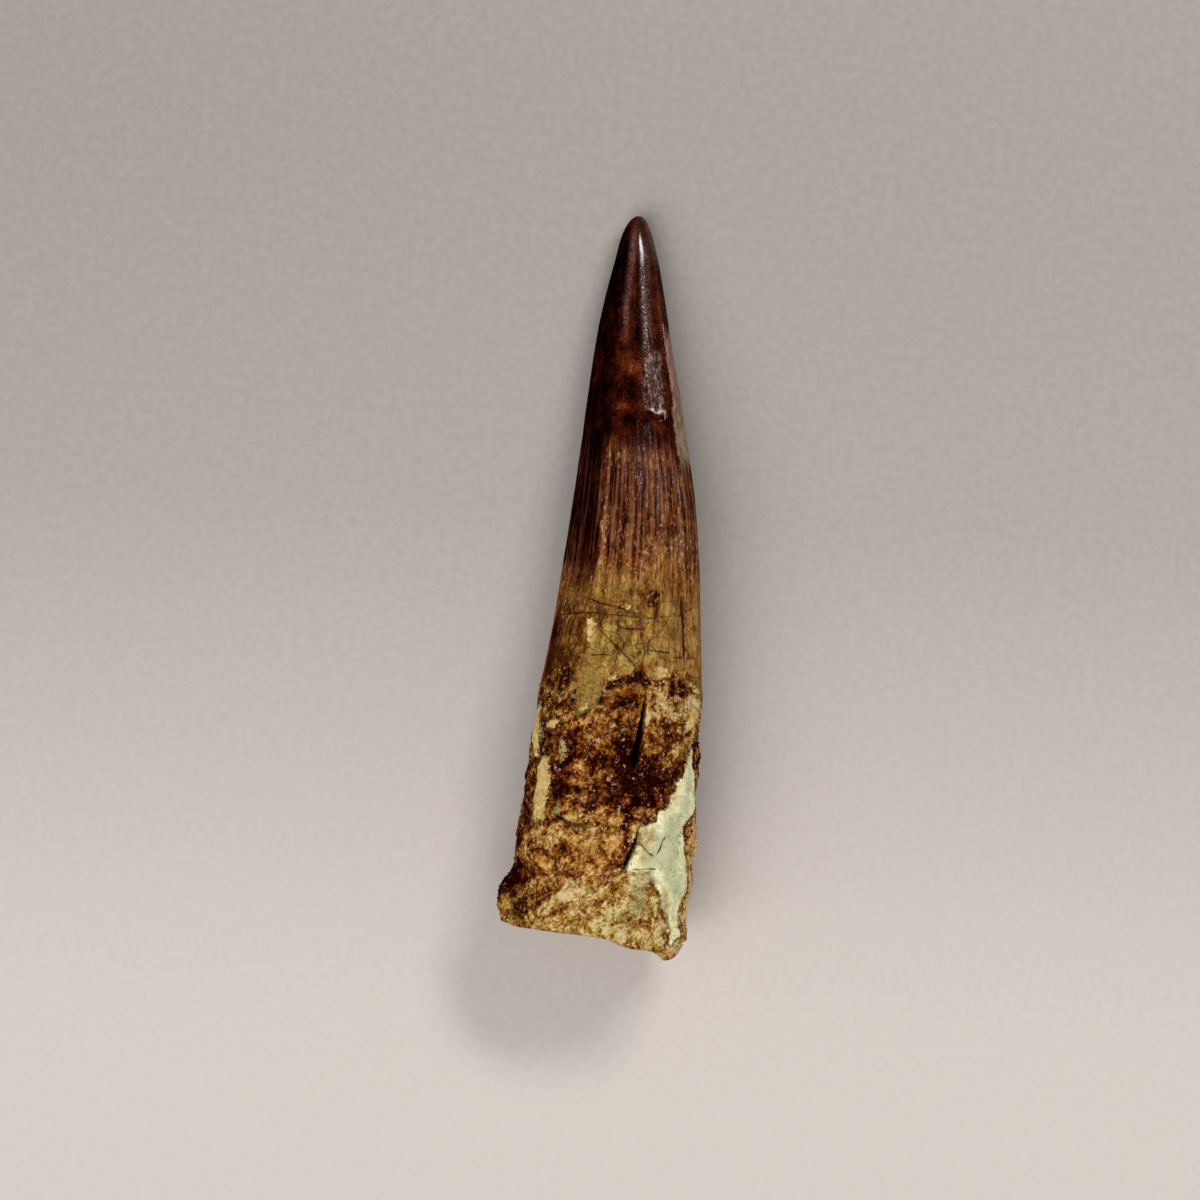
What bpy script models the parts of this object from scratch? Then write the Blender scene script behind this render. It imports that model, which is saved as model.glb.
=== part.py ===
"""A fossil spinosaurus tooth, lying on its side as it would on a table.

The tooth is one solid. Its crown is a long blunt cone with two keels and a coat of fine flutes, which an
enamel chip ends near the tip. Below the crown's ragged lower edge is a rough root stump, cracked along its
length and broken across its lower end. The tooth lies along Y with its tip at +Y. It rests on a flat spot
worn under the root and on another under the tip, and the face that shows best looks up, along +Z.

Sizes are in millimetres and angles in degrees until the mesh is made, which is in metres. A distance is
measured along the tooth from its tip, and an angle runs round the tooth from its right side (0) over its
upper face (90).
"""

import math
import random

import bmesh
import bpy
from mathutils import Vector, noise

MM = 0.001
SEED = 11

# Distance from the tip, and reach to the left and to the right of the line from the tip to the root's middle
OUTLINE = (
    (0.0, 0.0, 0.0),
    (1.0, 1.45, 1.15),
    (3.0, 2.3, 2.0),
    (7.0, 3.0, 3.0),
    (16.0, 4.4, 5.0),
    (28.0, 5.4, 7.8),
    (40.0, 6.6, 10.1),
    (55.0, 8.1, 11.6),
    (67.0, 9.7, 12.5),
    (82.0, 11.0, 12.9),
    (100.0, 12.0, 12.4),
)
# Distance from the tip, and the section's thickness as a share of its width
THICKNESS = ((0.0, 0.92), (30.0, 0.90), (64.0, 0.86), (100.0, 0.80))
# Distance from the tip, and the height of the section's middle. The underside is worn flat where it would
# reach below 0.
AXIS_HEIGHT = (
    (0.0, 2.7),
    (8.0, 3.3),
    (20.0, 4.5),
    (30.0, 6.1),
    (42.0, 8.0),
    (56.0, 8.9),
    (72.0, 9.2),
    (100.0, 9.3),
)

# Lines round the tooth, by their distance from the tip
CHIP_LINE = 26.8
CHIP_WOBBLES = ((2.2, 1.6), (7.0, 0.7))  # scale round the tooth, and height in millimetres
ENAMEL_LINE = 64.5
ENAMEL_WOBBLES = ((1.4, 3.6), (5.0, 2.0), (11.0, 0.9))
END_SECTION = 96.0
END_FLARE = 1.04  # the broken end's width as a share of its section's
LEDGE_HALF = 0.2  # each line is a pair of rings this far before and after it

# The broken lower end: distance from the tip by place across the tooth, on the upper face and the underside
END_ABOVE = (
    (-13.2, 94.9),
    (-12.0, 96.2),
    (-6.0, 96.6),
    (1.0, 97.0),
    (5.0, 98.1),
    (8.5, 98.5),
    (10.4, 99.6),
    (12.0, 98.7),
    (12.8, 97.2),
)
END_BELOW = ((-13.2, 94.9), (-6.0, 94.0), (2.0, 95.6), (9.0, 96.4), (12.8, 97.2))
END_MIDDLE = 94.4
END_ROUGHNESS = 1.7
END_LUMP_SIZE = 5.2

# Relief, outwards
FLUTES = 48
COLUMNS = 2 * FLUTES  # one column of points in each groove and one on each crest
FLUTE_PITCH = 360.0 / FLUTES
CREST_SHIFT = 0.24  # how far a crest may stand from the middle of its flute, as a share of the pitch
FLUTE_DEPTH = 0.42
FLUTES_FADE_IN = 22.0
FLUTES_FULL = 34.0
FLUTES_FADE_OUT = 67.0
FADE_OUT_LENGTH = 12.0
# Keels: angle, on a flute's crest; angle where the straight flank beside it ends; and the distances where it
# begins, is full, begins to fade and ends
KEELS = ((33.75, 0.0, (9.0, 16.0, 30.0, 44.0)), (123.75, 180.0, (8.0, 22.0, 47.0, 58.0)))
KEEL_HEIGHT = 0.3
KEEL_WIDTH = 4.0
FLANK_CUT = 0.92  # how far a flank comes to the straight line from its keel to the side
CHIP_DEPTH = 0.32
CHIP_ANGLES = (28.0, 100.0)
CHIP_FADES = (4.0, 16.0)  # how far past its line the chip begins and ends to run out
CHIP_SIDES = 10.0  # over how many degrees it ends at its sides
ENAMEL_THICKNESS = 0.3
CRUST_DEPTH = 0.55
CRUST_LUMP_SIZE = 4.2
CRUST_FRACTAL = (0.8, 2.1, 2)  # how fast finer lumps weaken, how much finer each size is, how many sizes
CRUST_RADIUS = (12.0, 10.0)  # of the oval that the crust's pattern is laid round, across and up

# Lumps: distance from the tip, angle, height, and reach along and round the tooth in millimetres and degrees
LUMPS = (
    (93.0, 174.0, 1.8, 2.9, 19.0),  # flare at the root's lower left corner
    (80.5, 172.0, 0.35, 2.6, 20.0),  # shoulder on the left, above the flare
    (86.0, 138.0, 0.6, 3.2, 13.0),  # scale of crust beside the flare
    (65.5, 12.0, 0.45, 2.0, 14.0),  # lip at the enamel's edge on the right
    (76.0, 62.0, 0.7, 12.0, 12.0),  # swelling beside the long crack
    (88.0, 100.0, -0.5, 5.0, 18.0),  # hollow in the lower root
    (78.0, 245.0, 0.5, 7.0, 16.0),  # swellings and a hollow on the underside
    (88.0, 300.0, 0.6, 5.0, 14.0),
    (70.0, 325.0, -0.5, 6.0, 15.0),
)

# Cracks: points by distance from the tip and place across, and half the width at each
UPPER_CRACK = (
    (63.9, 4.8, 0.1),
    (66.0, 4.72, 0.25),
    (68.5, 4.5, 0.36),
    (71.0, 4.15, 0.5),
    (73.0, 3.85, 0.55),
    (74.3, 4.0, 0.12),
)
LOWER_CRACK = ((82.3, 4.9, 0.1), (84.0, 4.7, 0.26), (85.6, 4.25, 0.36), (86.8, 3.85, 0.33), (87.9, 3.5, 0.12))
CRACK_DEPTH = 1.6
CUTTER_RISE = 1.2

# Rings of points between the tip, the two lines and the broken end
TIP_RINGS = 11
TIP_CROWDING = 1.7
CROWN_RINGS = 13
ROOT_RINGS = 17
END_RINGS = (0.93, 0.8, 0.66, 0.52, 0.38, 0.24, 0.1)

FOSSIL_BROWN = (0.115, 0.055, 0.022, 1.0)
FOSSIL_ROUGHNESS = 0.42
SHARP_ANGLE = 38.0


def through(stations, at, column=1, measure=lambda x: x):
    """A smooth curve through the stations' values in that column, read at one place of their first column."""
    places = [measure(s[0]) for s in stations]
    values = [s[column] for s in stations]
    place = min(max(measure(at), places[0]), places[-1])
    i = next((k for k in range(len(places) - 2) if place <= places[k + 1]), len(places) - 2)
    slopes = []
    for k in (i, i + 1):
        before, after = max(k - 1, 0), min(k + 1, len(places) - 1)
        slopes.append((values[after] - values[before]) / (places[after] - places[before]))
    span = places[i + 1] - places[i]
    t = (place - places[i]) / span
    return (
        (2 * t**3 - 3 * t**2 + 1) * values[i]
        + (t**3 - 2 * t**2 + t) * span * slopes[0]
        + (3 * t**2 - 2 * t**3) * values[i + 1]
        + (t**3 - t**2) * span * slopes[1]
    )


def ramp(start, end, at):
    """0 before start, 1 after end, and a smooth rise between."""
    t = min(max((at - start) / (end - start), 0.0), 1.0)
    return t * t * (3 - 2 * t)


def turn_between(a, b):
    """The angle from a to b by the shorter way round, in degrees, without a sign."""
    return abs((a - b + 180.0) % 360.0 - 180.0)


def wobble(angle, waves):
    """A ragged line's height at this angle, from noise that closes round the tooth."""
    a = math.radians(angle)
    place = Vector((math.cos(a), math.sin(a), 2.0))
    return sum(height * noise.noise(place * scale) for scale, height in waves)


def section(distance):
    """The cross-section's centre across and up, and its half width and half thickness."""
    left = through(OUTLINE, distance, 1, math.sqrt)
    right = through(OUTLINE, distance, 2, math.sqrt)
    half_width = (left + right) / 2
    half_thickness = half_width * through(THICKNESS, distance)
    return (right - left) / 2, through(AXIS_HEIGHT, distance), half_width, half_thickness


def lines_at(angle):
    """Distances from the tip of the chip line, the enamel's lower edge and the broken end, at this angle."""
    chip = CHIP_LINE + wobble(angle, CHIP_WOBBLES)
    enamel = ENAMEL_LINE + wobble(angle, ENAMEL_WOBBLES)
    centre, _, half_width, _ = section(END_SECTION)
    across = centre + half_width * END_FLARE * math.cos(math.radians(angle))
    above = through(END_ABOVE, across)
    below = through(END_BELOW, across)
    share = ramp(-0.5, 0.5, math.sin(math.radians(angle)))
    return chip, enamel, below + (above - below) * share


class Flute:
    """One flute: its crest's height and place to one side, and where along the crown it begins and ends."""

    def __init__(self, dice):
        self.crest = (0.5 + dice.uniform(-CREST_SHIFT, CREST_SHIFT)) * FLUTE_PITCH
        self.height = dice.uniform(0.45, 1.0)
        self.begins = dice.uniform(0.0, 8.0)
        self.ends = dice.uniform(0.0, 6.0)

    def at(self, distance):
        rise = ramp(FLUTES_FADE_IN + self.begins, FLUTES_FULL + self.begins, distance)
        fall = ramp(FLUTES_FADE_OUT - FADE_OUT_LENGTH - self.ends, FLUTES_FADE_OUT, distance)
        return self.height * rise * (1 - fall)


def keel_relief(distance, angle):
    """The keels' ridges, and the straight flanks between each keel and the tooth's side."""
    _, _, half_width, half_thickness = section(distance)
    height = 0.0
    for keel, flank_end, (begins, full, fades, ends) in KEELS:
        share = ramp(begins, full, distance) * (1 - ramp(fades, ends, distance))
        height += KEEL_HEIGHT * share * math.exp(-((turn_between(angle, keel) / KEEL_WIDTH) ** 2))
        middle = (keel + flank_end) / 2
        half_turn = abs(keel - flank_end) / 2
        from_middle = turn_between(angle, middle)
        if from_middle < half_turn:
            straight = math.cos(math.radians(half_turn)) / math.cos(math.radians(from_middle))
            height += FLANK_CUT * share * (straight - 1) * (half_width + half_thickness) / 2
    return height


def crown_relief(distance, angle, column, flutes):
    """Flutes and keels."""
    flute = flutes[column // 2]
    side = 0.5 if column % 2 else -0.5
    return FLUTE_DEPTH * flute.at(distance) * side + keel_relief(distance, angle)


def surface_relief(distance, angle, chip, enamel):
    """The chip's step, the enamel's edge, the root's crust and the lumps."""
    height = 0.0
    if distance > chip:
        right, left = CHIP_ANGLES
        inside = ramp(right - CHIP_SIDES, right, angle) * (1 - ramp(left, left + CHIP_SIDES, angle))
        height -= CHIP_DEPTH * inside * (1 - ramp(chip + CHIP_FADES[0], chip + CHIP_FADES[1], distance))
    if distance > enamel:
        a = math.radians(angle)
        place = Vector((math.cos(a) * CRUST_RADIUS[0], math.sin(a) * CRUST_RADIUS[1], distance))
        height -= ENAMEL_THICKNESS
        height += CRUST_DEPTH * noise.fractal(place / CRUST_LUMP_SIZE, *CRUST_FRACTAL)
    for along, around, rise, reach, spread in LUMPS:
        turn = turn_between(angle, around) / spread
        height += rise * math.exp(-(((distance - along) / reach) ** 2) - turn**2)
    return height


def surface_point(distance, angle, height):
    """The point on the tooth's side there, raised by the relief, with the underside worn flat."""
    centre_x, centre_z, half_width, half_thickness = section(distance)
    a = math.radians(angle)
    reach = math.hypot(half_width * math.cos(a), half_thickness * math.sin(a))
    stretch = max(1.0 + height / reach, 0.5) if reach > 0.5 else 1.0
    x = centre_x + half_width * math.cos(a) * stretch
    z = centre_z + half_thickness * math.sin(a) * stretch
    return Vector((x, -distance, max(z, 0.0)))


def ring_distances(chip, enamel, end):
    """The distances of all rings at one angle: they crowd towards the tip and step over both lines."""
    first = chip - LEDGE_HALF
    rings = [first * (k / TIP_RINGS) ** TIP_CROWDING for k in range(1, TIP_RINGS + 1)]
    start, stop = chip + LEDGE_HALF, enamel - LEDGE_HALF
    rings += [start + (stop - start) * k / CROWN_RINGS for k in range(CROWN_RINGS + 1)]
    start = enamel + LEDGE_HALF
    rings += [start + (end - start) * k / ROOT_RINGS for k in range(ROOT_RINGS + 1)]
    return rings


def side_rings(dice):
    """Rings of points down the tooth's side, from the first below the tip to the broken edge."""
    flutes = [Flute(dice) for _ in range(FLUTES)]
    columns = []
    for column in range(COLUMNS):
        angle = FLUTE_PITCH * (column // 2 - 0.5) + (flutes[column // 2].crest if column % 2 else 0.0)
        chip, enamel, end = lines_at(angle)
        points = []
        for distance in ring_distances(chip, enamel, end):
            height = crown_relief(distance, angle, column, flutes)
            height += surface_relief(distance, angle, chip, enamel)
            points.append(surface_point(distance, angle, height))
        columns.append(points)
    return [list(ring) for ring in zip(*columns)]


def end_rings(edge):
    """Rings of points across the broken lower end, from near its edge to its middle."""
    centre_x, centre_z, half_width, half_thickness = section(END_SECTION)
    middle = Vector((centre_x, -END_MIDDLE, centre_z))
    rings = []
    for share in END_RINGS:
        ring = []
        for point in edge:
            outward = point - middle
            a = math.atan2(outward.z / half_thickness, outward.x / half_width)
            place = middle + Vector((half_width * math.cos(a), 0.0, half_thickness * math.sin(a))) * share
            place.y += outward.y * share**3
            place.y += END_ROUGHNESS * noise.fractal(place / END_LUMP_SIZE, *CRUST_FRACTAL) * (1 - share**4)
            ring.append(place)
        rings.append(ring)
    return rings, middle


def join_rings(bm, rings):
    """Faces between each ring of points and the next."""
    for upper, lower in zip(rings, rings[1:]):
        for k in range(COLUMNS):
            following = (k + 1) % COLUMNS
            bm.faces.new((upper[k], upper[following], lower[following], lower[k]))


def join_fan(bm, ring, point):
    """Faces from one ring to a single point."""
    for k in range(COLUMNS):
        bm.faces.new((ring[k], ring[(k + 1) % COLUMNS], point))


def tooth_mesh(shift):
    """The whole tooth as one closed mesh, in metres."""
    rings = side_rings(random.Random(SEED))
    ends, middle = end_rings(rings[-1])
    _, tip_z, _, _ = section(0.0)
    bm = bmesh.new()
    placed = [[bm.verts.new((p + shift) * MM) for p in ring] for ring in rings + ends]
    join_rings(bm, placed)
    join_fan(bm, placed[0], bm.verts.new((Vector((0.0, 0.0, tip_z)) + shift) * MM))
    join_fan(bm, placed[-1], bm.verts.new((middle + shift) * MM))
    bmesh.ops.recalc_face_normals(bm, faces=bm.faces)
    bmesh.ops.triangulate(bm, faces=bm.faces)
    mesh = bpy.data.meshes.new("tooth")
    bm.to_mesh(mesh)
    bm.free()
    return mesh


def shift_to_origin():
    """What brings the middle of the tooth's box to X 0 and Y 0. Its underside is at Z 0 already."""
    points = [p for ring in side_rings(random.Random(SEED)) for p in ring]
    xs = [p.x for p in points]
    ys = [p.y for p in points] + [0.0]
    return Vector((-(min(xs) + max(xs)) / 2, -(min(ys) + max(ys)) / 2, 0.0))


def crack_cutter(name, path, shift):
    """A wedge along a crack, with its sharp edge inside the tooth."""
    bm = bmesh.new()
    triangles = []
    for distance, across, half_gap in path:
        centre_x, centre_z, half_width, _ = section(distance)
        angle = math.degrees(math.acos((across - centre_x) / half_width))
        surface = surface_point(distance, angle, 0.0) + shift
        outward = (surface - Vector((centre_x, -distance, centre_z)) - shift).normalized()
        sideways = Vector((outward.z, 0.0, -outward.x))
        top = surface + outward * CUTTER_RISE
        spread = sideways * half_gap * (1 + CUTTER_RISE / CRACK_DEPTH)
        corners = (top - spread, top + spread, surface - outward * CRACK_DEPTH)
        triangles.append([bm.verts.new(corner * MM) for corner in corners])
    bm.faces.new(triangles[0])
    bm.faces.new(triangles[-1])
    for first, second in zip(triangles, triangles[1:]):
        for k in range(3):
            bm.faces.new((first[k], first[(k + 1) % 3], second[(k + 1) % 3], second[k]))
    bmesh.ops.recalc_face_normals(bm, faces=bm.faces)
    bmesh.ops.triangulate(bm, faces=bm.faces)
    mesh = bpy.data.meshes.new(name)
    bm.to_mesh(mesh)
    bm.free()
    cutter = bpy.data.objects.new(name, mesh)
    bpy.context.scene.collection.objects.link(cutter)
    cutter.hide_render = True
    cutter.display_type = "WIRE"
    return cutter


def fossil_material():
    """Brown, partly polished fossil enamel and bone."""
    material = bpy.data.materials.new("fossil")
    material.use_nodes = True
    shader = material.node_tree.nodes["Principled BSDF"]
    shader.inputs["Base Color"].default_value = FOSSIL_BROWN
    shader.inputs["Roughness"].default_value = FOSSIL_ROUGHNESS
    shader.inputs["Metallic"].default_value = 0.0
    return material


def build_tooth():
    """The tooth, cut by its two open cracks."""
    shift = shift_to_origin()
    mesh = tooth_mesh(shift)
    mesh.shade_smooth()
    mesh.set_sharp_from_angle(angle=math.radians(SHARP_ANGLE))
    mesh.materials.append(fossil_material())
    tooth = bpy.data.objects.new("tooth", mesh)
    bpy.context.scene.collection.objects.link(tooth)
    for name, path in (("upper_crack_cutter", UPPER_CRACK), ("lower_crack_cutter", LOWER_CRACK)):
        cut = tooth.modifiers.new(name, "BOOLEAN")
        cut.operation = "DIFFERENCE"
        cut.solver = "EXACT"
        cut.object = crack_cutter(name, path, shift)


def main():
    for old in list(bpy.data.objects):
        bpy.data.objects.remove(old)
    build_tooth()


main()
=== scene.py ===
"""A fossil spinosaurus tooth lying on a pale table, seen from straight above.

The tooth's skin is one closed mesh, laid out in rings and columns from nearly the same driving values as the
solid that it stands for, but fine enough to carry the flutes, the chip, the cracks and the crust of the root. A
Geometry Nodes tree raises the flutes of the crown, and another strews quartz grains over the crust. Colour, gloss
and the finest relief come from one material, which reads masks kept on the mesh.

Sizes are in millimetres and angles in degrees until a mesh is made, which is in metres. A distance is measured
along the tooth from its tip. A place across is measured to the right of the line from the tip to the root's
middle. An angle runs round the tooth from its right side (0) over its upper face (90).
"""

import math

import bpy
import numpy as np
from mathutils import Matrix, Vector, noise


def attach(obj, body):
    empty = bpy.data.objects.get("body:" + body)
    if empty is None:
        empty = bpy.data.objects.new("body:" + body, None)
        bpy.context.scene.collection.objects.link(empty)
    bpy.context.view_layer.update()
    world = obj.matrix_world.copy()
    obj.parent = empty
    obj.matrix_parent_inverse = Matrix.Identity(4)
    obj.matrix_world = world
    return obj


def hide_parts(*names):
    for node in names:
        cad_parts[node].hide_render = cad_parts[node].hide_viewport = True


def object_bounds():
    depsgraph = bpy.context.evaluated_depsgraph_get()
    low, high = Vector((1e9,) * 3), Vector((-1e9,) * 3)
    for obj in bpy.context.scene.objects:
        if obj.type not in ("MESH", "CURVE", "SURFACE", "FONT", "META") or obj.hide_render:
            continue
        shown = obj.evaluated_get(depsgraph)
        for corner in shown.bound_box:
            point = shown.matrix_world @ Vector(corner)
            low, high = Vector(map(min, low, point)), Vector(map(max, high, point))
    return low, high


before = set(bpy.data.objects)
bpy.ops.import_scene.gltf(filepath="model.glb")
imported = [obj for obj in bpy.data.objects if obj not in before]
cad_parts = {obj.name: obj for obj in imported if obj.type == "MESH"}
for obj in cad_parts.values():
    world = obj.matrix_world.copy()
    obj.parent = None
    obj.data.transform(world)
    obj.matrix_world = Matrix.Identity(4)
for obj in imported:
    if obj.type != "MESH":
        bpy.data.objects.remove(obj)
cad_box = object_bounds()

MM = 0.001
SEED = 11
FAR = 1e3  # a distance past all others
USUAL_HALF_WIDTH = 0.08  # of a fine crack

# Close to the solid's driving values: distance from the tip, and reach to the left and to the right
OUTLINE = (
    (0.0, 0.0, 0.0), (1.0, 1.45, 1.15), (3.0, 2.3, 2.0), (7.0, 3.1, 3.15), (16.0, 4.7, 5.1),
    (28.0, 5.7, 7.8), (40.0, 6.6, 10.1), (55.0, 8.1, 11.6), (67.0, 9.7, 12.5), (82.0, 11.0, 12.9),
    (100.0, 12.0, 12.4),
)
THICKNESS = ((0.0, 0.92), (30.0, 0.90), (64.0, 0.86), (100.0, 0.80))
AXIS_HEIGHT = (
    (0.0, 2.7), (8.0, 3.3), (20.0, 4.5), (30.0, 6.1), (42.0, 8.0), (56.0, 8.9), (72.0, 9.2), (100.0, 9.3),
)
CHIP_LINE = 26.8
CHIP_WOBBLES = ((2.2, 1.6), (7.0, 0.7))
CHIP_DEPTH = 0.32
CHIP_ANGLES = (22.0, 78.0)
CHIP_FADES = (4.0, 16.0)
CHIP_SIDES = 10.0
ENAMEL_LINE = 64.5
ENAMEL_WOBBLES = ((1.4, 3.6), (5.0, 2.0), (11.0, 0.9))
ENAMEL_CRUMBLES = ((9.0, 0.6), (27.0, 0.45))  # the finer steps of its lower edge on the upper face
ENAMEL_THICKNESS = 0.3
LEDGE_HALF = 0.12
END_SECTION = 96.0
END_FLARE = 1.04
END_ABOVE = (
    (-13.2, 95.6), (-12.2, 96.3), (-6.0, 96.6), (1.0, 97.0), (5.0, 98.1), (8.5, 98.5), (10.4, 99.6),
    (12.0, 98.7), (12.8, 97.2),
)
END_BELOW = ((-13.2, 95.4), (-6.0, 94.0), (2.0, 95.6), (9.0, 96.4), (12.8, 97.2))
END_MIDDLE = 94.4
END_ROUGHNESS = 1.7
END_LUMP_SIZE = 5.2
KEELS = ((33.75, 0.0, (9.0, 16.0, 30.0, 44.0)), (123.75, 180.0, (8.0, 22.0, 47.0, 58.0)))
KEEL_HEIGHT = 0.3
KEEL_WIDTH = 4.0
FLANK_CUT = 0.92
CRUST_DEPTH = 0.55
CRUST_LUMP_SIZE = 4.2
CRUST_FRACTAL = (0.8, 2.1, 2)
CRUST_RADIUS = (12.0, 10.0)
LUMPS = (
    (92.0, 174.0, 1.85, 2.8, 19.0),  # flare at the root's lower left corner
    (96.0, 176.0, 0.7, 1.6, 14.0),
    (84.0, 172.0, 0.55, 3.4, 20.0),  # shoulder on the left, above the flare
    (72.0, 174.0, 0.30, 6.0, 16.0),
    (86.0, 138.0, 0.6, 3.2, 13.0),  # scale of crust beside the flare
    (65.5, 12.0, 0.45, 2.0, 14.0),  # lip at the enamel's edge on the right
    (76.0, 62.0, 0.7, 12.0, 12.0),  # swelling beside the long crack
    (88.0, 100.0, -0.5, 5.0, 18.0),  # hollow in the lower root
    (78.0, 245.0, 0.5, 7.0, 16.0),  # swellings and a hollow on the underside
    (88.0, 300.0, 0.6, 5.0, 14.0),
    (70.0, 325.0, -0.5, 6.0, 15.0),
)
# The open cracks: distance, place across and half the width
UPPER_CRACK = (
    (63.9, 4.8, 0.1), (66.0, 4.72, 0.25), (68.5, 4.5, 0.36), (71.0, 4.15, 0.5), (73.0, 3.85, 0.55),
    (74.3, 4.0, 0.12),
)
LOWER_CRACK = ((82.3, 4.9, 0.1), (84.0, 4.7, 0.26), (85.6, 4.25, 0.36), (86.8, 3.85, 0.33), (87.9, 3.5, 0.12))
CRACK_DEPTH = 1.6
CRACK_WALL = 0.16  # how wide a crack's wall is, seen from above
LIP_HEIGHT = 0.3  # of the long crack's right lip
LIP_MIDDLE = 0.55
LIP_WIDTH = 0.45

# Small relief: how high it stands, and for what is noise the size of its lumps
SWELL = (0.07, 5.0)
CRUMB = (0.22, 1.5)
PEBBLE = (0.13, 0.6)
STREAK_RADIUS = 10.0  # of the cylinder on which the enamel's streaks are laid out
STREAK_STRETCH = 14.0  # how many times longer than wide they are
PLATE_HEIGHT = 0.10
FILLING_HEIGHT = 0.16
FINE_CRACK_DEPTH = 0.09

# The mesh: columns round the upper and the lower half, and rings between the lines round the tooth
UPPER_COLUMNS = 240
LOWER_COLUMNS = 144
TIP_RINGS = 40
TIP_CROWDING = 1.5
FLUTED_RINGS = 40
FLUTED_END = 50.0
CRACKED_RINGS = 44
ROOT_RINGS = 112
END_RINGS = 12
NEIGHBOURS = 4  # how many points either way a place is compared with, to find hollows

# The enamel's lower edge on the upper face: place across and distance
ENAMEL_EDGE = (
    (-9.6, 64.0), (-7.7, 65.5), (-6.2, 66.4), (-5.1, 66.9), (-3.9, 67.5), (-2.5, 66.6), (-1.3, 64.8),
    (-0.6, 63.4), (0.6, 62.6), (2.1, 62.0), (3.4, 61.2), (4.6, 62.2), (6.2, 62.3), (8.4, 61.8),
    (10.4, 62.6), (12.3, 64.2),
)

# Dirt over the enamel, as soft patches: distance, place across, reach along, reach across, and how thick
DIRT_PATCHES = (
    (63.4, -7.4, 2.6, 2.4, 6.0), (65.0, -5.2, 2.2, 1.0, 5.0), (61.4, -5.5, 1.1, 0.8, 5.0),
    (51.7, 4.9, 1.8, 1.5, 4.3), (63.0, 9.8, 2.0, 2.0, 4.0),
)

# Patches with an edge, on the upper face: points by distance and place across
CLAY_PATCH = (
    (71.2, 11.8), (73.2, 10.8), (75.4, 10.0), (77.2, 9.4), (78.6, 8.9), (79.6, 7.8), (80.8, 7.0),
    (81.5, 6.0), (82.4, 5.2), (84.4, 4.9), (86.4, 4.6), (87.8, 4.0), (89.2, 4.2), (90.2, 5.4), (89.2, 7.0),
    (90.4, 8.4), (92.6, 9.4), (95.0, 9.9), (97.2, 10.5), (96.4, 11.5), (93.5, 11.3), (90.6, 11.9),
    (86.4, 11.8), (83.6, 11.5), (81.2, 11.4), (79.4, 12.3), (75.6, 12.1),
)
CREAM_PATCHES = (
    ((54.6, -3.0), (55.4, -2.5), (56.0, -2.8), (57.8, -2.6), (57.6, -3.3), (56.4, -3.6), (55.0, -3.6)),
    ((52.5, 1.5), (52.6, 2.0), (53.1, 2.2), (53.1, 1.6)),
    ((60.6, 6.6), (60.6, 7.3), (61.2, 7.7), (61.9, 7.2), (61.9, 6.0), (61.2, 5.8)),
    ((62.0, 0.3), (62.3, 1.0), (62.9, 0.2), (62.4, -0.3)),
    ((66.8, -3.9), (66.2, -2.8), (66.8, -2.7), (67.4, -3.8)),
    ((68.1, -6.2), (68.3, -7.2), (69.0, -8.4), (69.8, -8.3), (69.8, -7.2), (69.0, -6.5)),
    ((68.6, 0.2), (68.5, 1.0), (69.2, 0.9), (69.3, 0.0)),
    ((66.0, -9.4), (68.6, -9.3), (73.6, -9.3), (73.7, -9.8), (68.0, -9.8)),
    ((73.3, -8.9), (73.5, -7.7), (78.0, -7.6), (81.9, -7.7), (82.0, -9.2), (78.0, -9.5), (75.0, -9.4)),
    ((87.4, 2.0), (87.7, 3.0), (88.4, 2.4), (88.2, 1.9)),
    ((64.9, 9.3), (65.2, 9.8), (66.2, 10.2), (66.0, 9.6)),
    ((65.1, 11.2), (66.6, 12.2), (68.8, 11.4), (69.4, 10.5), (67.8, 10.6), (66.4, 11.0)),
)
OLIVE_PATCH = (
    (59.6, -3.9), (59.8, -1.0), (62.6, -1.1), (64.6, -1.3), (66.4, -2.6), (67.2, -3.8), (64.0, -4.3),
)
CHIP_PLATE = (
    (18.4, 2.2), (18.2, 3.8), (22.0, 4.4), (24.8, 4.8), (26.7, 5.0), (26.5, 3.2), (25.0, 2.9), (22.4, 1.9),
    (20.0, 1.6),
)

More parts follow.
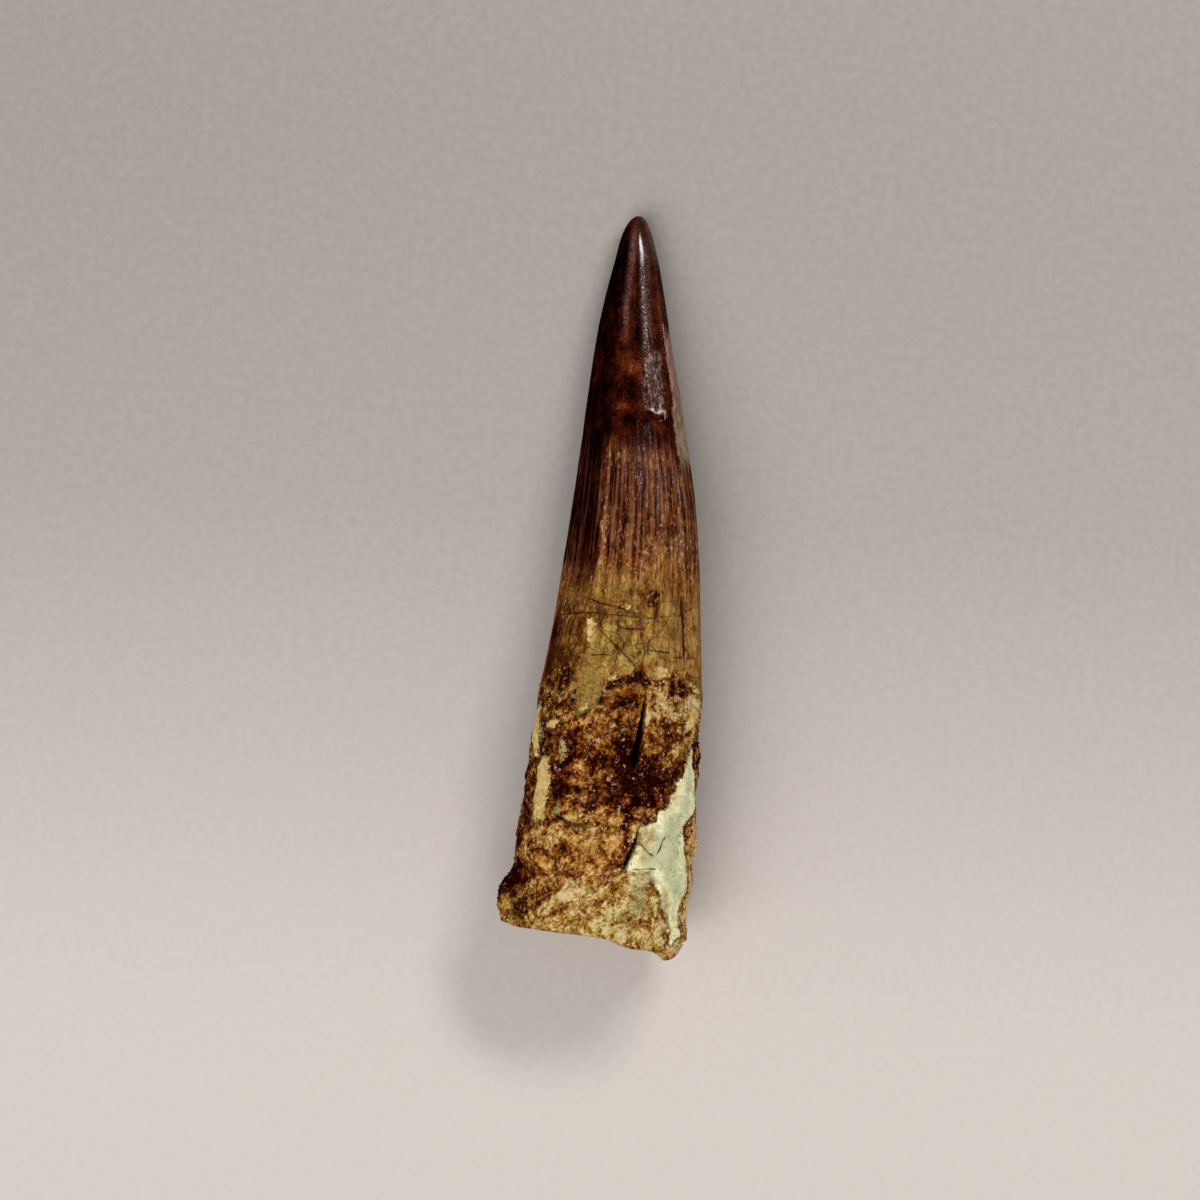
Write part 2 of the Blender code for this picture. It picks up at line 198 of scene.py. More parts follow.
# Closed cracks and scratches: half the width, then points by distance and place across
FINE_CRACKS = (
    (0.09, ((56.3, -1.7), (56.8, -1.1), (57.6, -0.2))),
    (0.13, ((57.4, -0.4), (58.5, 0.8), (59.3, 1.7), (60.3, 2.8), (61.0, 3.5))),
    (0.08, ((52.2, -3.1), (52.6, -2.1), (52.8, -1.0), (52.9, 0.0), (53.2, 1.0), (53.6, 1.9), (53.7, 3.0))),
    (0.07, ((54.5, -7.4), (54.2, -6.2), (54.1, -5.0), (54.0, -3.8), (53.9, -2.2), (54.1, 0.5), (54.1, 3.4))),
    (0.06, ((54.3, 3.9), (53.9, 6.4), (53.8, 7.4))),
    (0.07, ((55.4, 0.5), (55.8, 1.2), (55.8, 2.4), (55.7, 3.8))),
    (0.07, ((58.4, 4.7), (58.5, 5.4), (58.6, 6.4), (58.6, 7.4))),
    (0.06, ((59.6, -2.5), (59.4, -1.4), (59.4, -0.4), (59.2, 1.0))),
    (0.14, ((51.7, 8.8), (53.0, 8.9), (55.0, 9.2), (57.0, 9.35), (59.2, 9.6))),
    (0.06, ((59.2, 8.4), (59.3, 9.6), (59.2, 11.0))),
    (0.08, ((57.6, 4.1), (58.8, 4.3), (60.0, 4.1), (61.2, 3.9))),
    (0.06, ((56.5, 0.5), (57.1, 1.0), (57.7, 1.5), (58.4, 1.4))),
    (0.20, ((81.5, -5.7), (82.1, -4.6), (82.3, -3.6), (82.2, -2.8), (81.8, -2.0), (81.8, -1.0), (82.1, 0.9))),
    (0.07, ((84.1, 5.2), (85.0, 6.1), (85.6, 7.0))),
    (0.07, ((85.3, 7.7), (84.3, 8.1), (83.2, 8.6))),
    (0.07, ((87.6, 5.0), (87.5, 6.2), (87.4, 7.3))),
    (0.06, ((88.2, 4.6), (88.1, 6.6))),
    (0.16, ((88.3, -5.9), (87.0, -6.2), (86.2, -6.9), (85.7, -7.8), (85.9, -8.7), (86.8, -9.3))),
    (0.14, ((18.7, 2.1), (18.5, 2.5), (18.1, 3.4))),
    (0.12, ((16.3, 2.3), (17.0, 2.6), (17.6, 3.0))),
    (0.10, ((16.4, 3.2), (17.0, 3.0), (17.6, 3.0))),
    (0.08, ((27.3, 4.1), (28.1, 4.3), (28.3, 4.7))),
    (0.06, ((49.9, 9.9), (52.3, 10.3))),
)

# How light the fossil is, from 0 to 1: distance from the tip and lightness
LIGHTNESS = (
    (0.0, 0.24), (8.0, 0.15), (20.0, 0.15), (29.0, 0.16), (33.0, 0.26), (40.0, 0.31), (46.0, 0.40),
    (51.0, 0.50), (58.0, 0.56), (63.0, 0.54), (67.0, 0.44), (72.0, 0.33), (78.0, 0.34), (82.0, 0.62),
    (89.0, 0.68), (93.0, 0.735), (99.0, 0.75),
)
# The crown's left flank is painted darker, partly for its own darker enamel and partly as painted shade of the side
# turned from the light: the place across where it begins, and by how much it is darker
FLANK_SHADE = (
    (0.0, -0.9, 0.12), (8.0, -1.4, 0.17), (20.0, -1.9, 0.10), (30.0, -2.2, 0.14), (34.0, -2.8, 0.20),
    (41.0, -2.8, 0.23), (46.5, -2.7, 0.22), (50.0, -3.2, 0.10), (60.0, -3.6, 0.12), (67.0, -3.6, 0.02),
    (99.0, -3.6, 0.0),
)
# Lighter bands along the crown: half the width, how much lighter, and points by distance and place across
LIGHT_BANDS = (
    (0.34, 0.10, ((1.5, -0.5), (5.0, -0.6), (9.0, -0.8), (15.0, -0.9), (19.0, -0.4))),
    (0.22, -0.12, ((5.0, 0.2), (9.0, 0.3), (14.0, 0.5), (18.0, 0.9))),
    (0.28, 0.14, ((6.0, 2.4), (12.0, 3.3), (16.0, 3.9))),
    (0.30, 0.24, ((84.0, -10.0), (86.0, -9.7), (88.4, -9.4))),
    (0.40, -0.16, ((80.0, 11.6), (84.0, 11.7), (90.0, 12.0), (96.0, 11.6))),
    (1.60, 0.32, ((78.0, 12.5), (84.0, 12.6), (90.0, 12.6), (96.0, 12.4))),
    # a pale band right of the dark left flank: partly the enamel's own colour, partly a painted highlight where the
    # keel's ridge catches the light
    (0.34, 0.12, ((30.0, -1.6), (34.0, -2.2), (41.0, -2.2), (46.0, -2.1), (50.0, -2.6))),
    (0.20, -0.34, ((51.4, 8.7), (53.0, 8.9), (55.0, 9.2), (57.0, 9.35), (59.2, 9.6))),
    # dark bands just left of the two open cracks: painted shadow cast by their raised right sides
    (0.60, -0.50, ((78.0, 4.2), (80.0, 3.7), (82.0, 3.5), (85.0, 3.6), (88.0, 3.0))),
    (0.40, -0.26, ((64.0, 4.4), (66.0, 4.2), (69.0, 3.9), (72.0, 3.4), (76.0, 3.6))),
)
# Painted sheen on the tip: bands where a purple-grey tint stands in for light glancing off the crackled enamel. Half
# the width, strength, then points by distance and place across
PAINTED_SHEEN_BANDS = (
    (0.50, 0.5, ((4.0, 0.9), (8.0, 1.4), (13.0, 1.8), (18.0, 2.4))),
    (0.36, 0.5, ((2.5, -0.6), (6.0, -0.7), (10.0, -0.9), (16.0, -1.0))),
)
# Pale scratches, and the chip's lower edge (the wide line), painted pale as partly its own broken enamel and partly a
# painted highlight: half the width, then points by distance and place across
SCRATCHES_AND_RIM_GLINT = (
    (0.08, ((28.0, 4.3), (27.6, 4.9), (27.2, 5.4))),
    (0.44, ((26.1, 3.0), (26.4, 3.6), (26.6, 4.3), (26.6, 5.0))),
    (0.10, ((21.0, 3.4), (22.6, 3.5))),
    (0.08, ((24.0, 3.9), (25.6, 4.3))),
    (0.05, ((20.6, 3.1), (21.8, 3.2))),
)
# How polished the enamel is, by distance
POLISH = (
    (0.0, 1.0), (5.0, 1.0), (8.0, 0.6), (20.0, 0.5), (27.0, 0.12), (31.0, 0.2), (35.0, 0.36), (48.0, 0.4),
    (60.0, 0.15), (68.0, 0.0), (99.0, 0.0),
)
# Soft patches: distance, place across, reach along, reach across, and how much lighter or darker
LIGHT_PATCHES = (
    # the tip, with rusty spots above the chip
    (20.5, 0.0, 1.2, 1.3, 0.17), (26.0, 0.4, 0.6, 2.0, 0.22), (24.0, 0.2, 1.1, 1.2, -0.09),
    (18.0, 0.4, 0.8, 1.2, -0.06), (25.8, 5.6, 0.6, 0.8, 0.2), (23.6, 0.6, 1.6, 1.4, -0.06),
    # the shadow under the chip's edge, and the fluted crown
    (28.8, 1.8, 1.5, 2.4, -0.15), (28.2, 6.0, 1.5, 1.6, -0.05), (27.6, 5.4, 0.6, 1.8, -0.12),
    (32.4, -1.0, 1.3, 1.8, 0.13), (37.0, -0.8, 3.2, 1.2, -0.05), (45.0, 2.4, 3.5, 1.6, -0.05),
    (45.0, 9.8, 5.0, 1.4, -0.07), (28.3, 4.4, 0.8, 1.6, 0.17), (32.6, 5.0, 1.2, 1.6, 0.06),
    (31.0, -4.4, 2.4, 1.4, -0.10), (45.0, -0.8, 4.0, 1.3, -0.05), (46.0, 6.2, 4.0, 2.0, 0.07),
    # the enamel above its lower edge, with a dark red spot
    (51.8, 4.9, 1.5, 1.3, -0.26), (55.5, -5.6, 4.0, 1.8, -0.10), (57.5, -8.0, 4.5, 1.4, -0.30),
    (59.4, -5.6, 1.6, 0.8, -0.12), (49.4, 0.6, 2.0, 2.2, 0.05), (56.0, 10.9, 5.0, 1.6, 0.16),
    (50.0, -5.2, 2.2, 2.0, -0.07), (50.6, 0.8, 1.5, 2.2, 0.08), (56.0, 5.5, 2.2, 1.6, -0.07),
    # dark hollows and pale grains along the enamel's lower edge
    (62.5, -8.6, 3.0, 1.2, -0.24), (61.8, 4.1, 1.2, 0.9, -0.34), (62.8, 1.6, 0.8, 1.5, -0.34),
    (64.2, 3.2, 1.2, 1.0, -0.14), (62.6, 9.8, 1.1, 2.0, -0.26), (63.5, 8.4, 1.1, 0.7, -0.22),
    (63.5, -6.6, 2.4, 2.0, -0.16), (65.6, 6.8, 2.4, 1.8, 0.34), (64.0, -5.8, 2.0, 1.4, 0.08),
    (66.5, 11.6, 2.6, 1.2, 0.22), (68.6, -2.2, 1.4, 1.8, 0.22), (69.0, 1.0, 0.9, 2.0, 0.10),
    (62.0, 5.8, 1.6, 1.6, 0.14), (66.0, 11.4, 2.8, 2.8, 0.34), (65.4, 2.4, 2.2, 2.0, -0.10),
    (66.4, -8.6, 2.0, 1.2, 0.14), (65.4, 2.2, 1.8, 1.8, -0.12), (66.0, 1.8, 1.8, 1.6, -0.05),
    (66.4, 11.6, 2.2, 1.6, 0.26),
    # the dark crust in the middle of the root
    (70.8, -8.2, 1.3, 0.9, -0.22), (73.6, -3.0, 1.8, 1.2, 0.14), (74.4, -3.2, 1.2, 1.2, 0.26),
    (72.5, 2.2, 2.6, 1.8, -0.20), (76.5, 5.6, 2.6, 3.0, -0.16), (71.0, 10.0, 2.2, 1.6, 0.24),
    (78.0, -6.6, 4.0, 0.9, -0.27), (76.0, -7.0, 7.0, 0.7, -0.06), (71.4, 11.0, 1.6, 2.0, 0.12),
    (72.0, -6.0, 2.2, 0.5, 0.22), (75.8, -0.6, 1.8, 0.9, 0.22), (76.2, -0.4, 1.8, 1.2, 0.11),
    (74.0, -4.6, 3.5, 1.8, -0.05), (77.6, -4.0, 1.0, 0.6, 0.14), (76.4, 1.6, 3.4, 1.8, -0.16),
    (72.4, 1.8, 2.6, 1.6, -0.16), (71.6, -5.0, 1.6, 1.2, -0.10), (76.8, -5.6, 2.6, 0.8, -0.14),
    # the paler band below it, and the shoulder on the left
    (87.4, -7.6, 0.9, 1.0, 0.04), (80.4, 6.6, 0.9, 1.2, 0.16), (80.6, 0.6, 1.0, 1.6, 0.02),
    (83.6, 1.4, 2.0, 1.4, 0.14), (84.8, -4.8, 1.3, 1.0, -0.34), (88.2, -4.4, 1.3, 1.0, -0.20),
    (83.0, -10.6, 3.4, 2.2, -0.60), (88.6, 0.6, 0.9, 1.6, 0.12), (82.8, -1.4, 0.8, 3.0, 0.10),
    (87.8, -2.0, 1.2, 3.0, 0.06), (84.2, 3.6, 2.0, 0.7, -0.14), (87.2, -7.6, 1.3, 1.3, -0.08),
    (81.2, -4.4, 0.5, 1.6, 0.12), (81.1, -1.4, 0.5, 1.6, 0.12), (80.8, 1.0, 1.0, 1.8, 0.06),
    (80.4, -3.0, 1.2, 1.2, 0.16),
    # the flare, the lower end and its lobe
    (89.4, -11.2, 2.4, 4.4, -0.56), (91.8, -12.2, 1.7, 3.4, -0.62), (92.8, -9.6, 1.7, 2.4, -0.38),
    (91.4, -6.8, 1.6, 1.4, -0.22), (97.6, 10.4, 1.6, 2.6, 0.20), (89.4, -2.4, 1.0, 2.6, -0.06),
    (91.2, -4.0, 1.2, 2.0, 0.24), (91.6, 1.6, 1.2, 1.6, -0.12), (92.4, -7.4, 1.2, 1.2, -0.22),
    (94.8, -10.4, 1.5, 3.0, -0.26), (96.4, 5.0, 1.0, 3.0, 0.08), (97.2, 10.6, 1.4, 1.4, -0.08),
    (94.4, 6.0, 2.0, 2.6, -0.06), (91.4, 6.0, 1.6, 1.8, 0.08), (97.2, 10.6, 1.0, 1.4, 0.16),
)
# Soft patches of rust (above 0) or of olive (below 0), in the same way
RUST_PATCHES = (
    # the crown
    (20.5, 0.2, 1.6, 1.6, 0.5), (26.2, 0.4, 1.0, 2.0, 0.7), (45.0, 2.2, 3.0, 0.5, 0.5),
    (32.5, -1.0, 1.4, 2.2, -1.2), (9.0, 3.0, 4.0, 1.0, -0.9),
    # the olive enamel
    (52.6, 4.9, 1.4, 1.2, 0.4), (54.5, 10.0, 5.0, 1.2, 0.5), (54.0, -5.6, 5.5, 2.6, -1.5),
    (61.5, -6.6, 3.5, 2.0, -0.9), (62.0, -2.6, 5.0, 1.6, -0.9), (50.0, 1.0, 3.0, 3.0, -0.4),
    (56.0, 1.0, 5.0, 8.0, -0.5), (52.0, 3.0, 3.5, 8.0, -0.5), (59.0, 3.0, 3.0, 8.0, -0.5),
    # the root
    (64.6, 2.6, 1.6, 2.2, 0.9), (81.6, 1.2, 2.0, 2.0, 0.4), (75.0, 0.0, 5.0, 6.0, 0.4),
    (87.0, -7.4, 2.2, 1.6, 0.5), (77.0, -9.8, 5.0, 0.6, 0.7), (86.0, 12.4, 12.0, 0.6, 0.5),
    (95.4, 7.2, 1.4, 2.0, 0.5), (94.0, -10.0, 2.4, 2.6, -0.8), (94.5, 3.0, 2.6, 9.0, -0.6),
    (91.5, 8.0, 2.0, 3.0, -0.5), (84.5, -1.0, 2.6, 5.0, 0.4), (78.0, -6.2, 4.0, 1.2, 0.6),
    (86.5, -10.4, 3.5, 1.6, 0.8), (90.5, -11.0, 2.0, 2.0, 0.6), (74.0, -4.4, 4.0, 2.4, 0.4),
)
# A thin pale film over the crust, in the same way
FILM_PATCHES = (
    (90.2, -2.6, 1.3, 2.6, 0.62), (91.6, 5.6, 2.4, 2.2, 0.72), (88.4, 5.2, 1.4, 1.2, 0.6),
    (94.4, 2.0, 1.6, 3.6, 0.5), (72.2, -6.2, 2.0, 0.7, 0.9), (80.4, -6.3, 1.2, 0.7, 0.9),
    (86.6, -9.6, 1.6, 0.4, 0.5), (64.6, 7.0, 1.6, 1.6, 0.45), (64.0, -4.8, 1.6, 1.0, 0.6),
)
# Where pale grains are thick, in the same way
GRAINY_PATCHES = (
    (76.0, -2.2, 2.6, 1.8, 0.9), (74.6, 0.4, 2.0, 1.0, 0.8), (78.6, -4.0, 1.6, 1.4, 0.6),
    (70.0, -2.6, 1.2, 1.8, 0.7), (64.4, 7.0, 2.2, 2.2, 1.0), (68.0, 7.6, 1.8, 1.4, 0.7),
    (66.0, 11.2, 2.6, 1.2, 0.8), (72.0, 8.4, 1.6, 1.2, 0.5), (79.8, 6.0, 1.2, 1.2, 0.6),
    (88.8, 0.0, 1.6, 3.0, 0.7), (84.6, -1.0, 2.4, 3.0, 0.5), (82.0, 2.8, 1.2, 0.8, 0.5),
    (67.4, -8.6, 1.6, 0.8, 0.6),
)
# Dirt on the clay, in the same way
STAIN_PATCHES = (
    (85.4, 6.2, 2.4, 1.8, 0.8), (89.2, 6.2, 1.4, 2.4, 1.0), (82.6, 6.2, 1.2, 1.2, 0.7),
    (93.4, 9.6, 2.6, 0.8, 0.9), (90.6, 9.0, 1.2, 0.8, 0.6), (93.0, 10.7, 2.0, 0.8, 0.5),
    (91.0, 11.6, 3.0, 0.3, 0.5),
)
# Where the crust is smoother, in the same way
CALM_PATCHES = (
    (90.6, -12.0, 2.8, 4.4, 0.75), (94.2, -11.0, 2.0, 3.0, 0.4), (87.4, -7.4, 1.6, 1.6, 0.3),
    (84.6, -1.2, 2.6, 4.6, 0.34), (65.0, 2.4, 1.8, 1.6, 0.35),
)
# The soft patches that the material reads, each with its amount in the middle of the broken end
SOFT_PATCHES = {
    "film": (FILM_PATCHES, 0.0),
    "grainy": (GRAINY_PATCHES, 0.3),
    "stain": (STAIN_PATCHES, 0.0),
    "calm": (CALM_PATCHES, 0.0),
}


def ramp(start, end, at):
    """0 before start, 1 after end, and a smooth rise between."""
    t = np.clip((at - start) / (end - start), 0.0, 1.0)
    return t * t * (3 - 2 * t)


def through(stations, at, column=1, measure=np.asarray):
    """A smooth curve through the stations' values in that column, read at each place of their first column."""
    places = measure(np.array([s[0] for s in stations], float))
    values = np.array([s[column] for s in stations], float)
    last = len(places) - 1
    order = np.arange(last + 1)
    before, after = np.maximum(order - 1, 0), np.minimum(order + 1, last)
    slopes = (values[after] - values[before]) / (places[after] - places[before])
    place = np.clip(measure(np.asarray(at, float)), places[0], places[-1])
    i = np.clip(np.searchsorted(places, place) - 1, 0, last - 1)
    span = places[i + 1] - places[i]
    t = (place - places[i]) / span
    return (
        (2 * t**3 - 3 * t**2 + 1) * values[i]
        + (t**3 - 2 * t**2 + t) * span * slopes[i]
        + (3 * t**2 - 2 * t**3) * values[i + 1]
        + (t**3 - t**2) * span * slopes[i + 1]
    )


def turn_between(a, b):
    """The angle from a to b by the shorter way round, in degrees, without a sign."""
    return np.abs((a - b + 180.0) % 360.0 - 180.0)


def wobble(angle, waves):
    """A ragged line's height at each angle, from noise that closes round the tooth."""
    heights = []
    for a in np.radians(angle):
        place = Vector((math.cos(a), math.sin(a), 2.0))
        heights.append(sum(height * noise.noise(place * scale) for scale, height in waves))
    return np.array(heights)


def section(distance):
    """The cross-section's centre across and up, and its half width and half thickness."""
    left = through(OUTLINE, distance, 1, np.sqrt)
    right = through(OUTLINE, distance, 2, np.sqrt)
    half_width = (left + right) / 2
    half_thickness = half_width * through(THICKNESS, distance)
    return (right - left) / 2, through(AXIS_HEIGHT, distance), half_width, half_thickness


def unrolled(distance, angle):
    """How far round the surface each place lies from the top of the upper face, in millimetres to the right."""
    _, _, half_width, half_thickness = section(distance)
    return np.radians(90.0 - angle) * (half_width + half_thickness) / 2


def unrolled_path(path):
    """A path on the upper face with its places across turned into places round the surface."""
    turned = []
    for distance, across, *others in path:
        centre, _, half_width, _ = section(distance)
        cosine = np.clip((across - centre) / half_width, -0.999, 0.999)
        turned.append((distance, float(unrolled(distance, np.degrees(np.arccos(cosine)))), *others))
    return turned


def column_angles():
    """Angles of the columns of points: fine over the upper half, wider over the lower half."""
    upper = np.arange(UPPER_COLUMNS) * 180.0 / UPPER_COLUMNS
    lower = 180.0 + np.arange(LOWER_COLUMNS) * 180.0 / LOWER_COLUMNS
    return np.concatenate((upper, lower))


def lines_at(angle):
    """Distances from the tip of the chip line, the enamel's lower edge and the broken end, at each angle."""
    sine = np.sin(np.radians(angle))
    chip = CHIP_LINE + wobble(angle, CHIP_WOBBLES)
    centre, _, half_width, _ = section(np.full_like(angle, ENAMEL_LINE))
    across = centre + half_width * np.cos(np.radians(angle))
    below = ENAMEL_LINE + wobble(angle, ENAMEL_WOBBLES)
    above = through(ENAMEL_EDGE, across) + wobble(angle, ENAMEL_CRUMBLES)
    enamel = below + (above - below) * ramp(-0.1, 0.25, sine)
    centre, _, half_width, _ = section(np.full_like(angle, END_SECTION))
    across = centre + half_width * END_FLARE * np.cos(np.radians(angle))
    below = through(END_BELOW, across)
    end = below + (through(END_ABOVE, across) - below) * ramp(-0.5, 0.5, sine)
    return chip, enamel, end


def ring_distances(chip, enamel, end):
    """The distances of all rings, for each column: they crowd towards the tip and step over both lines."""
    tip = (np.arange(1, TIP_RINGS + 1) / TIP_RINGS) ** TIP_CROWDING
    rings = [share * (chip - LEDGE_HALF) for share in tip]
    stretches = (
        (chip + LEDGE_HALF, np.full_like(chip, FLUTED_END), FLUTED_RINGS),
        (np.full_like(chip, FLUTED_END), enamel - LEDGE_HALF, CRACKED_RINGS),
        (enamel + LEDGE_HALF, end, ROOT_RINGS),
    )
    for start, stop, count in stretches:
        first = 0 if start[0] != FLUTED_END else 1
        rings += [start + (stop - start) * k / count for k in range(first, count + 1)]
    return np.array(rings)


def noise_over(places, size, fractal=(1.0, 2.0, 1)):
    """Smooth noise, about -1 to 1, with lumps of that size in millimetres."""
    flat = places.reshape(-1, 3) / size
    values = [noise.fractal(Vector(p), *fractal) for p in flat]
    return np.array(values).reshape(places.shape[:-1])


def pebbles_over(places, size):
    """Rounded pebbles of that size in millimetres, 0 in their gaps and about 1 on top."""
    flat = places.reshape(-1, 3) / size
    values = []
    for p in flat:
        nearest = noise.voronoi(Vector(p))[0]
        values.append(nearest[1] - nearest[0])
    return np.clip(np.array(values).reshape(places.shape[:-1]), 0.0, 1.0)


def away_from(start, stop, along, around):
    """Distance to the straight stretch from start to stop, and a number with the sign of the side."""
    (d0, s0), (d1, s1) = start, stop
    length = (d1 - d0) ** 2 + (s1 - s0) ** 2
    t = np.clip(((along - d0) * (d1 - d0) + (around - s0) * (s1 - s0)) / length, 0.0, 1.0)
    away = np.hypot(along - d0 - t * (d1 - d0), around - s0 - t * (s1 - s0))
    return away, (d1 - d0) * (around - s0) - (s1 - s0) * (along - d0)


def depth_inside(outline, along, around):
    """How far each place lies inside a closed outline on the unrolled surface; below 0 outside it."""
    points = unrolled_path(outline)
    nearest = np.full_like(along, FAR)
    inside = np.zeros(along.shape, bool)
    for (d0, s0), (d1, s1) in zip(points, points[1:] + points[:1]):
        away, _ = away_from((d0, s0), (d1, s1), along, around)
        nearest = np.minimum(nearest, away)
        if d0 != d1:
            crosses = (along < d0) != (along < d1)
            inside ^= crosses & (around < s0 + (along - d0) * (s1 - s0) / (d1 - d0))
    return np.where(inside, nearest, -nearest)


def line_distances(lines, along, around):
    """Distance to the nearest of some fine lines, and the same with a sign for its sides. A line counts as nearer
    the wider it is."""
    near = np.full_like(along, FAR)
    side = np.zeros_like(along)
    for half_width, path in lines:
        points = unrolled_path(path)
        for start, stop in zip(points, points[1:]):
            away, turn = away_from(start, stop, along, around)
            away = away * USUAL_HALF_WIDTH / half_width
            closer = away < near
            near = np.where(closer, away, near)
            side = np.where(closer, np.sign(turn) * away, side)
    return np.minimum(near, 1.0), np.clip(side, -1.0, 1.0)


def open_crack(path, along, around):
    """How far each place lies inside an open crack, from its edge; below 0 outside it."""
    middles = unrolled_path(path)
    middle = through(middles, along, 1)
    half = through(middles, along, 2)
    past_ends = np.maximum(path[0][0] - along, along - path[-1][0])
    return np.where(past_ends > 0, -past_ends, half - np.abs(around - middle))


def soft_patches(patches, along, around):
    """The sum of soft round patches on the upper face."""
    total = np.zeros_like(along)
    for distance, middle, reach_along, reach_across, amount in unrolled_path(patches):
        squares = ((along - distance) / reach_along) ** 2 + ((around - middle) / reach_across) ** 2
        total += amount * np.exp(-squares)
    return total


def soft_bands(bands, along, around):
    """The sum of soft bands along the upper face, which fade out at their ends."""
    total = np.zeros_like(along)
    for half_width, amount, path in bands:
        middle = through(unrolled_path(path), along)
        begins, ends = path[0][0], path[-1][0]
        shown = ramp(begins - 1.5, begins + 1.5, along) * (1 - ramp(ends - 2.0, ends + 2.0, along))
        total += amount * shown * np.exp(-(((around - middle) / half_width) ** 2))
    return total


def local_mean(grid, reach):
    """Each value's mean over its neighbours along and round, that many either way."""
    mean = np.zeros_like(grid)
    padded = np.pad(grid, ((reach, reach), (0, 0)), mode="edge")
    span = 2 * reach + 1
    for step in range(span):
        mean += padded[step : step + len(grid)] / span
    return sum(np.roll(mean, step, axis=1) for step in range(-reach, reach + 1)) / span


def keel_relief(distance, angle):
    """The keels' ridges, and the straight flanks between each keel and the tooth's side."""
    _, _, half_width, half_thickness = section(distance)
    height = np.zeros_like(distance)
    for keel, flank_end, (begins, full, fades, ends) in KEELS:
        share = ramp(begins, full, distance) * (1 - ramp(fades, ends, distance))
        height += KEEL_HEIGHT * share * np.exp(-((turn_between(angle, keel) / KEEL_WIDTH) ** 2))
        half_turn = abs(keel - flank_end) / 2
        from_middle = turn_between(angle, (keel + flank_end) / 2)
        nearest = np.radians(np.minimum(from_middle, half_turn))
        straight = math.cos(math.radians(half_turn)) / np.cos(nearest)
        height += FLANK_CUT * share * (straight - 1) * (half_width + half_thickness) / 2
    return height


def lump_relief(distance, angle):
    """The lumps and hollows of the root."""
    height = np.zeros_like(distance)
    for along, around, rise, reach, spread in LUMPS:
        turn = turn_between(angle, around) / spread
        height += rise * np.exp(-(((distance - along) / reach) ** 2) - turn**2)
    return height


